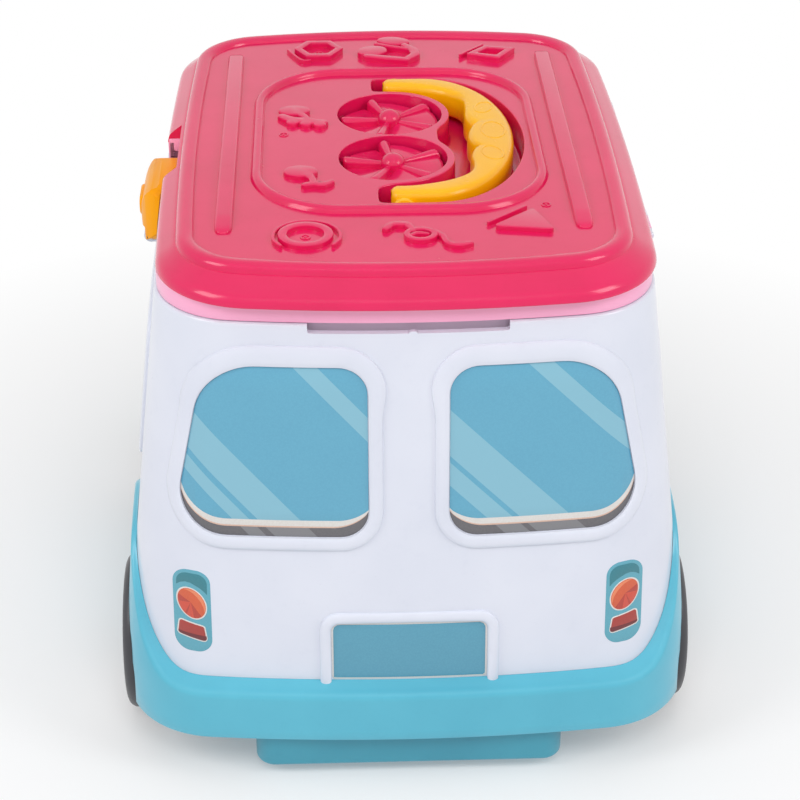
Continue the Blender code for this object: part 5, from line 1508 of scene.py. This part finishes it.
def freeShapes():
    bold = reliefTop["bold"]
    waves = ((-42.4, 15.2), (-36.8, 13.8), (-31.2, 12.6))
    return [
        fused(
            relief("note", ellipse(-41.8, 27.4, 6.6, 5.0)),
            relief("noteNeck", stroke([(-39.5, 24.0), (-37.0, 20.0), (-36.5, 15.5)],
                                      [4.0, 3.0, 3.0])),
            relief("noteTail", stroke([(-46.8, 21.6), (-42.6, 17.6), (-37.0, 16.4), (-32.0, 14.8),
                                       (-29.8, 14.8)], [4.0, 5.2, 5.4, 5.0, 4.4])),
            *[relief("noteWave", circleAt(*wave, 2.7, 20)) for wave in waves]),
        fused(
            relief("note", ellipse(-39.0, -34.4, 6.8, 5.3)),
            relief("noteNeck", stroke([(-36.0, -37.5), (-34.4, -41.5), (-34.0, -45.0)],
                                      [4.4, 3.0, 3.0])),
            relief("noteTail", stroke([(-37.6, -47.2), (-33.5, -46.0), (-30.0, -46.8),
                                       (-26.8, -44.4)], [2.6, 4.2, 3.8, 2.4]))),
        fused(
            relief("beamed", ellipse(-7.5, 93.0, 6.8, 5.6, 20.0), bold),
            relief("beamedHead", ellipse(2.2, 104.8, 7.4, 4.6, -12.0), bold),
            relief("beam", stroke([(-10.0, 87.2), (-1.0, 84.6), (7.4, 82.4)], [3.4, 3.8, 3.4]),
                   bold),
            relief("beamPost", stroke([(7.4, 82.8), (11.2, 88.6), (10.6, 94.0), (7.0, 99.8)],
                                      [3.4, 4.6, 4.6, 3.4]), bold),
            relief("beamCross", stroke([(-5.5, 101.5), (1.5, 98.0), (9.5, 94.8)],
                                       [2.2, 2.2, 2.4]), bold)),
        fused(
            reliefRing("clef", ellipse(5.8, -92.6, 6.4, 5.8, 0.0, 48),
                       ellipse(5.8, -92.6, 3.9, 3.3, 0.0, 48)),
            relief("clefHead", stroke([(-7.0, -87.2), (-4.4, -83.6), (0.4, -83.4), (2.4, -86.6),
                                       (3.0, -89.4)], [3.0, 3.6, 3.6, 3.0, 2.6])),
            relief("clefTail", stroke([(10.8, -90.0), (14.0, -94.0), (15.4, -99.6),
                                       (19.4, -101.8), (24.0, -100.4)], [2.4, 2.6, 2.6, 3.0, 2.2])),
            relief("clefSwirl", stroke([(1.8, -93.8), (4.6, -91.6), (8.4, -92.4)],
                                       [1.8, 2.0, 1.6]))),
    ]


def buildReliefs():
    parts = [longRib(-reliefs["rib"]), longRib(reliefs["rib"])] + plainShapes() + freeShapes()
    for spot in reliefs["marks"]:
        parts += dimple(*spot)
    return parts


dress(smooth(joinPieces([lidPiece] + buildReliefs(), "lidShell"), 28), "crimsonPlastic", "lid",
      "crimson_plastic", "lid_shell")
print("lid dressed")


# Fans

fanLook = {
    "hub": 5.0, "hubTop": 210.4, "dome": 4.3, "low": 203.8, "blades": 5, "reach": 20.4, "sweep": 70.0,
    "ridge": (1.2, 2.4), "ridgeTop": 212.4, "tail": 208.2, "foot": 205.2,
    "bore": (1.65, 200.0, 211.0), "turns": {"rear": 28.0, "front": 40.0},
    # Distance from the axle, or from the tip, and share of the full section
    "stations": ((3.5, 1.0), (5.0, 1.0), (7.5, 1.0), (10.5, 1.0), (13.5, 1.0), (16.5, 1.0)),
    "tip": ((2.2, 1.0), (1.2, 0.985), (0.5, 0.93), (0.12, 0.84), (0.0, 0.72)),
    "washer": ((0.0, 2.5), (0.9, 2.5), (1.3, 2.0), (1.6, 0.0)),
}


def bladeRing(radius, squeeze):
    # Section across a blade at one distance from the hub: ridge, then the falling face
    look = fanLook
    share = (radius - look["hub"]) / (look["reach"] - look["hub"])
    ridge = look["ridge"][0] + (look["ridge"][1] - look["ridge"][0]) * share
    top = look["ridgeTop"] - 1.2 * (1.0 - share)
    sweep = math.radians(look["sweep"]) * (0.90 + 0.10 * math.sin(math.pi * min(share + 0.15, 1.0)))
    spots = []
    for i in range(9):
        turn = math.pi * (1.0 - i / 8.0)
        spots.append((ridge * math.cos(turn) / radius, top - ridge + ridge * math.sin(turn)))
    fall = top - ridge
    for i in range(1, 13):
        t = i / 12.0
        ease = t * t * (3.0 - 2.0 * t)
        spots.append((ridge / radius + (sweep - ridge / radius) * t, fall + (look["tail"] - fall) * ease))
    end = sweep + 0.4 / radius
    spots += [(end, look["tail"] - 0.5), (end, look["foot"]), (-ridge / radius, look["foot"])]
    middle = 0.5 * (look["foot"] + look["tail"])
    ring = []
    for turn, z in spots:
        centre = 0.25 * sweep
        turn = centre + (turn - centre) * squeeze
        z = middle + (z - middle) * squeeze
        ring.append((radius * math.cos(turn), -radius * math.sin(turn), z))
    return ring


def buildFan(end):
    look = fanLook
    hub, top = look["hub"], look["hubTop"]
    stations = list(look["stations"]) + [(look["reach"] - back, share) for back, share in look["tip"]]
    blade = fixNormals(stackRings("blade", [bladeRing(*station) for station in stations]))
    profile = [(look["low"] + rise, hub + wider) for rise, wider in look["washer"]]
    profile += [(top + look["dome"] * sin, hub * cos) for sin, cos in quarter(9, 0, 8)]
    profile.append((top + look["dome"], 0.3))
    parts = [turned("fan", profile, "Z", (0.0, 0.0), 48)]
    for i in range(look["blades"]):
        copy = bpy.data.objects.new("blade", blade.data.copy())
        bpy.context.scene.collection.objects.link(copy)
        turn = math.radians(look["turns"][end] + 360.0 / look["blades"] * i)
        copy.data.transform(Matrix.Rotation(turn, 4, "Z"))
        parts.append(copy)
    for part in parts:
        combine(part, rod("bore", "Z", 0.0, 0.0, *look["bore"]))
    bpy.data.objects.remove(blade)
    fan = joinPieces(parts, "fan" + end.title())
    fan.data.transform(Matrix.Translation(Vector((fanPlace["x"], fanPlace[end], 0.0)) * mm))
    return smooth(fan, 34)


for end in ("rear", "front"):
    dress(buildFan(end), "crimsonPlastic", end + "_fan", "crimson_plastic", "fan_" + end)
print("fans built")


# Carry handle

gripOvals = ((37.3, 26.0, 3.7, 5.8, -16.0), (39.6, 2.0, 5.0, 8.4, 2.0), (37.8, -20.8, 4.2, 6.8, 13.0))
ovalSection = ((0.35, -0.2), (0.25, 0.1), (0.0, 0.2), (-0.3, 0.2), (-0.55, 0.1), (-0.65, -0.2))


def handleInside():
    # The inner edge from the rear arm over three finger lobes to the front arm
    size = handleSize
    middle, pitch, peak = size["middle"], size["pitch"], size["peak"]
    low, high = size["cusps"]

    def arm(side):
        knots = [Vector((x, handleFrame["y"] + side * y)) for x, y in size["arm"]]
        return spline(knots + [Vector((peak, middle + side * pitch))], 4)

    def lobe(t):
        return math.sin(math.pi * t) ** size["sharpness"]

    grip = []
    for t in [0.5 + i / 16.0 for i in range(8)]:
        grip.append(Vector((low - (low - peak) * lobe(t), middle - pitch * (1.5 - t))))
    for t in [i / 16.0 for i in range(16)]:
        grip.append(Vector((low + (high - low) * t - size["lobe"] * lobe(t),
                            middle + pitch * (t - 0.5))))
    for t in [i / 16.0 for i in range(9)]:
        grip.append(Vector((high - (high - peak) * lobe(t), middle + pitch * (0.5 + t))))
    return arm(-1.0) + grip + arm(1.0)[::-1]


def handleRing(inside, squeeze):
    # Upright section of the handle from a point of its inner edge to its outer edge
    size = handleSize
    middle = handleFrame["y"]
    if inside.x > size["bend"]:
        across = Vector((inside.x - size["bend"], inside.y - middle))
        share = math.hypot(across.x / size["reach"], across.y / size["half"])
        outside = Vector((size["bend"], middle)) + across / share
    else:
        outside = Vector((inside.x, middle + math.copysign(size["half"], inside.y)))
    run = outside - inside
    width = run.length
    run.normalize()
    low, top = size["low"] + 0.5 * squeeze, size["top"] - 0.5 * squeeze
    ring = []
    for start, level, radius, turns in ((squeeze, low, size["lowEdge"], (270, 180)),
                                        (squeeze, top, size["topEdge"], (180, 90)),
                                        (width - squeeze, top, size["topEdge"], (90, 0)),
                                        (width - squeeze, low, size["lowEdge"], (0, -90))):
        inwards = 1.0 if start < width / 2.0 else -1.0
        rise = 1.0 if level < (low + top) / 2.0 else -1.0
        for i in range(6):
            turn = math.radians(turns[0] + (turns[1] - turns[0]) * i / 5)
            spot = inside + run * (start + inwards * radius + radius * math.cos(turn))
            ring.append((spot.x, spot.y, level + rise * radius + radius * math.sin(turn)))
    return ring


def buildHandle():
    size = handleSize
    middle = handleFrame["y"]
    route = handleInside()
    ends = []
    for x in size["ends"]:
        turn = math.acos(1.0 - (x - size["root"]) / size["end"])
        ends.append((x, size["end"] * 0.9 * (1.0 - math.sin(turn))))
    rings = [handleRing(Vector((x, route[0].y)), squeeze) for x, squeeze in ends]
    rings += [handleRing(spot, 0.0) for spot in route if spot.x > -0.8]
    rings += [handleRing(Vector((x, route[-1].y)), squeeze) for x, squeeze in ends[::-1]]
    handle = fixNormals(stackRings("handle", rings))
    parts = []
    for side in (-1, 1):
        span, hole = (sorted(middle + side * reach for reach in size[key])
                      for key in ("bossEnds", "hole"))
        boss = softRod("boss", "Y", *size["pivot"], size["boss"], *span, 0.6, 40)
        for thing in (boss, handle):
            combine(thing, rod("pinHole", "Y", *size["pivot"], size["pin"], *hole))
        parts.append(boss)
    for oval in gripOvals:
        line = ellipse(*oval, 56)
        rings = [atHeight(shifted(line, by), size["top"] + rise) for by, rise in ovalSection]
        parts.append(stackRings("gripOval", rings, closed=True))
    return smooth(joinPieces([handle] + parts, "handle"), 40)


dress(buildHandle(), "yellowPlastic", "handle", "yellow_plastic", "handle")
print("handle built")


# Side latch

latchLook = {
    "section": ((-102.4, 173.2), (-100.4, 173.2), (-99.0, 174.6), (-98.7, 178.0), (-97.6, 187.0),
                (-96.5, 194.6), (-96.1, 196.8), (-89.5, 196.8), (-89.5, 198.8), (-90.2, 199.4),
                (-96.8, 199.4), (-97.6, 198.7), (-99.9, 198.2), (-101.7, 196.7), (-103.0, 194.6),
                (-103.9, 192.3), (-104.6, 189.6), (-104.9, 186.0), (-104.9, 182.0),
                (-104.5, 178.6), (-103.8, 175.6)),
    "low": 173.0, "cornerLow": 12.0, "high": 199.6, "cornerHigh": 8.0, "plan": 12.0,
    "edge": 0.6, "edgeFrom": 180.4, "bore": (1.5, 4.6), "face": -104.1, "roomHalf": 2.8,
    "roomTop": 180.1, "boss": (8.8, 182.4, 191.2, 4.2),
}


def buildLatch():
    size, look = latchSize, latchLook
    y = size["y"]
    low, high = y - size["width"] / 2.0, y + size["width"] / 2.0
    latch = prism("latch", [Vector(spot) for spot in look["section"]], "Y", low, high)
    front = rounded([(low, look["low"], look["cornerLow"]), (high, look["low"], look["cornerLow"]),
                     (high, look["high"], look["cornerHigh"]), (low, look["high"], look["cornerHigh"])])
    combine(latch, prism("front", front, "X", -120.0, -80.0), operation="INTERSECT")
    plan = rounded([(-80.0, low, 0.0), (-80.0, high, 0.0), (-105.1, high, look["plan"]),
                    (-105.1, low, look["plan"])])
    combine(latch, prism("plan", plan, "Z", 150.0, 220.0), operation="INTERSECT")
    half = look["roomHalf"]
    tools = [block("lugRoom", (-106.0, lug - half, 165.0), (-90.0, lug + half, look["roomTop"]))
             for lug in (y - size["lugOffset"], y + size["lugOffset"])]
    radius, end = look["bore"]
    tools.append(rod("bore", "Y", size["pivotX"], size["pivotZ"], radius, low + end, high - end))
    combine(latch, *tools)
    bevelWhere(latch, lambda point: point.z > look["edgeFrom"], look["edge"], 3, 42.0)
    half, bossLow, bossHigh, corner = look["boss"]
    outline = oblong(y - half, bossLow, y + half, bossHigh, corner)
    boss = lifted(pad("boss", outline, -1.5, 1.6, 1.2),
                  lambda a, b, height: Vector((look["face"] - height, a, b)))
    return smooth(joinPieces([latch, boss], "latch"), 36)


# The latch is the handle's yellow plastic with painted shade, darker and more orange
dress(buildLatch(), "amberPlastic", "latch", "yellow_plastic", "latch")
latchPin = softRod("latchPin", "Y", latchSize["pivotX"], latchSize["pivotZ"], latchSize["pin"],
                   *latchSize["pinEnds"], 0.2)
dress(latchPin, "steel", "body", "steel", "latch_pin")
print("latch built")


# Lid liner, the milky strip between the lid and the body

linerSize = {
    "out": -0.9, "low": 195.45, "floor": 199.0, "top": 202.65, "rim": 2.2, "block": 204.4,
    "notch": (-88.9, -19.6, 22.6), "pinBore": (1.0, 12.0),
    "screws": ((-82.0, -104.0), (82.0, -104.0), (82.0, 0.0), (82.0, 104.0), (-82.0, 104.0)),
}


def buildLiner():
    size, hinge = linerSize, hingeSize
    out, foot, floor, top = size["out"], size["low"], size["floor"], size["top"]
    inside = out - size["rim"]
    rows = [(out - 3.0, foot), (out - 0.4, foot), (out - 0.1, foot + 0.1), (out, foot + 0.4),
            (out, floor), (out, top), (inside, top), (inside, floor + 0.6), (inside - 0.6, floor)]
    liner = stackRings("lidLiner", [atHeight(bodyRing(bodySize["rim"], by), z) for by, z in rows])
    edge, low, high = size["notch"]
    tools = [block("notch", (-120.0, low, 190.0), (edge, high, 210.0))]
    x, z, lug = hinge["x"], hinge["z"], hinge["lug"]
    bore, reach = size["pinBore"]
    half = hinge["length"] / 2.0
    for middle in (-hinge["y"], hinge["y"]):
        for start in (middle - half - 0.8, middle + half - lug - 0.3):
            tools.append(block("lugRoom", (x - 2.4, start, 190.0), (110.0, start + lug + 1.1, 201.6)))
        tools.append(rod("pinBore", "Y", x, z, bore, middle - reach, middle + reach))
    for y in (fanPlace["rear"], fanPlace["front"]):
        tools.append(rod("access", "Z", fanPlace["x"], y, 5.0, 190.0, 205.0))
    tools += [rod("hole", "Z", *spot, 1.8, 190.0, 205.0) for spot in size["screws"]]
    parts = [combine(liner, *tools)]
    foot += 0.15
    for name, near, start, far, end in (("notchEnd", -94.3, low - 3.2, edge + 1.0, low),
                                        ("notchEnd", -94.3, high, edge + 1.0, high + 3.2),
                                        ("notchBack", edge, low - 2.0, edge + 2.0, high + 2.0)):
        parts.append(block(name, (near, start, foot), (far, end, size["block"]), 0.25))
    half = half - lug - 0.3
    for middle in (-hinge["y"], hinge["y"]):
        knuckle = softRod("knuckle", "Y", x, z, hinge["knuckle"] - 0.8, middle - half, middle + half,
                          0.2)
        parts.append(combine(knuckle, rod("pinBore", "Y", x, z, bore, middle - reach,
                                          middle + reach)))
    return smooth(joinPieces(parts, "lidLiner"), 34)


dress(buildLiner(), "pinkPlastic", "lid", "pink_plastic", "lid_liner")
print("liner built")


# Small parts that keep their CAD shape

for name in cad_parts:
    finish = None
    if name.startswith("axle_bearing"):
        # The bearings take the same darker turquoise of painted shade
        finish = "deepTurquoise"
    elif any(word in name for word in ("screw", "pin_", "latch_pin", "axle_")):
        finish = "steel"
    if finish:
        for slot in bpy.data.objects[name].material_slots:
            slot.material = finishes[finish]


# Studio

studio = {
    "camera": (-28.3, -811.8, 563.0), "lens": 96.75, "pitch": 59.75, "yaw": -2.1,
    "fade": (60.0, 380.0), "worldDim": 0.46, "worldSeen": 0.54,
    # Place, size in metres, power in watts, and whether it shows in glossy faces
    "lamps": {
        "leftSoftBox": ((-0.95, -0.55, 0.95), (0.5, 0.6), 4.4, True),
        "rightSoftBox": ((1.0, -0.6, 0.95), (0.5, 0.6), 4.4, True),
        "rearSoftBox": ((0.0, -1.05, 1.35), (0.9, 0.5), 6.4, False),
        "topSoftBox": ((0.0, 0.0, 1.4), (0.8, 0.8), 1.4, False),
    },
    "target": (0.0, 0.0, 0.1),
}


def softBox(name, place, size, energy, glossy):
    data = bpy.data.lights.new(name, "AREA")
    data.shape = "RECTANGLE"
    data.size, data.size_y = size
    data.energy = energy
    lamp = bpy.data.objects.new(name, data)
    bpy.context.scene.collection.objects.link(lamp)
    lamp.location = place
    towards = Vector(studio["target"]) - Vector(place)
    lamp.rotation_euler = towards.to_track_quat("-Z", "Y").to_euler()
    lamp.visible_glossy = glossy


def buildFloor():
    deselectAll()
    bpy.ops.mesh.primitive_plane_add(size=6.0, location=(0.0, 0.0, 0.0))
    floor = bpy.context.object
    floor.name = "studioFloor"
    look = Finish("studioPaper", Specular_IOR_Level=0.1)
    tint = look.noise(3.0, 2.0)
    look.paint(Base_Color=look.mix(tint, (0.95, 0.95, 0.955, 1.0), (0.93, 0.93, 0.935, 1.0)),
               Roughness=0.8 + tint * 0.1)
    material = look.grain(look.noise(900.0, 3.0), 0.05, 0.0002)
    # The paper fades into the plain backdrop away from the toy
    x, y, z = look.axes()
    away = (x * x + y * y).root()
    glow = look.node("Emission", Color=(1.0, 1.0, 1.0, 1.0), Strength=1.0)
    fade = look.node("MixShader", i0=look.spread(away, *studio["fade"], 0.0, 1.0),
                     i1=look.shader.outputs[0], i2=glow.outputs[0])
    look.put(look.tree.nodes["Material Output"].inputs["Surface"], fade.outputs[0])
    floor.data.materials.append(material)


def buildWorld():
    # White to the camera and in glossy faces, dimmer as a light
    world = bpy.data.worlds.new("studioWorld")
    bpy.context.scene.world = world
    world.use_nodes = True
    tree = world.node_tree
    background = tree.nodes["Background"]
    background.inputs["Color"].default_value = (1.0, 1.0, 1.0, 1.0)
    rays = tree.nodes.new("ShaderNodeLightPath")
    glossy, through, camera = (Link(tree, rays.outputs[f"Is {kind} Ray"])
                               for kind in ("Glossy", "Transmission", "Camera"))
    strength = studio["worldDim"] + glossy.atLeast(through).atLeast(camera) * studio["worldSeen"]
    tree.links.new(strength.socket, background.inputs["Strength"])


def buildCamera():
    scene = bpy.context.scene
    data = bpy.data.cameras.new("studioCamera")
    data.lens = studio["lens"]
    data.sensor_width = 36.0
    camera = bpy.data.objects.new("studioCamera", data)
    scene.collection.objects.link(camera)
    camera.location = Vector(studio["camera"]) * mm
    camera.rotation_euler = (math.radians(studio["pitch"]), 0.0, math.radians(studio["yaw"]))
    scene.camera = camera
    scene.view_settings.view_transform = "Standard"


buildFloor()
buildWorld()
for name, lamp in studio["lamps"].items():
    softBox(name, *lamp)
buildCamera()
print("studio ready")
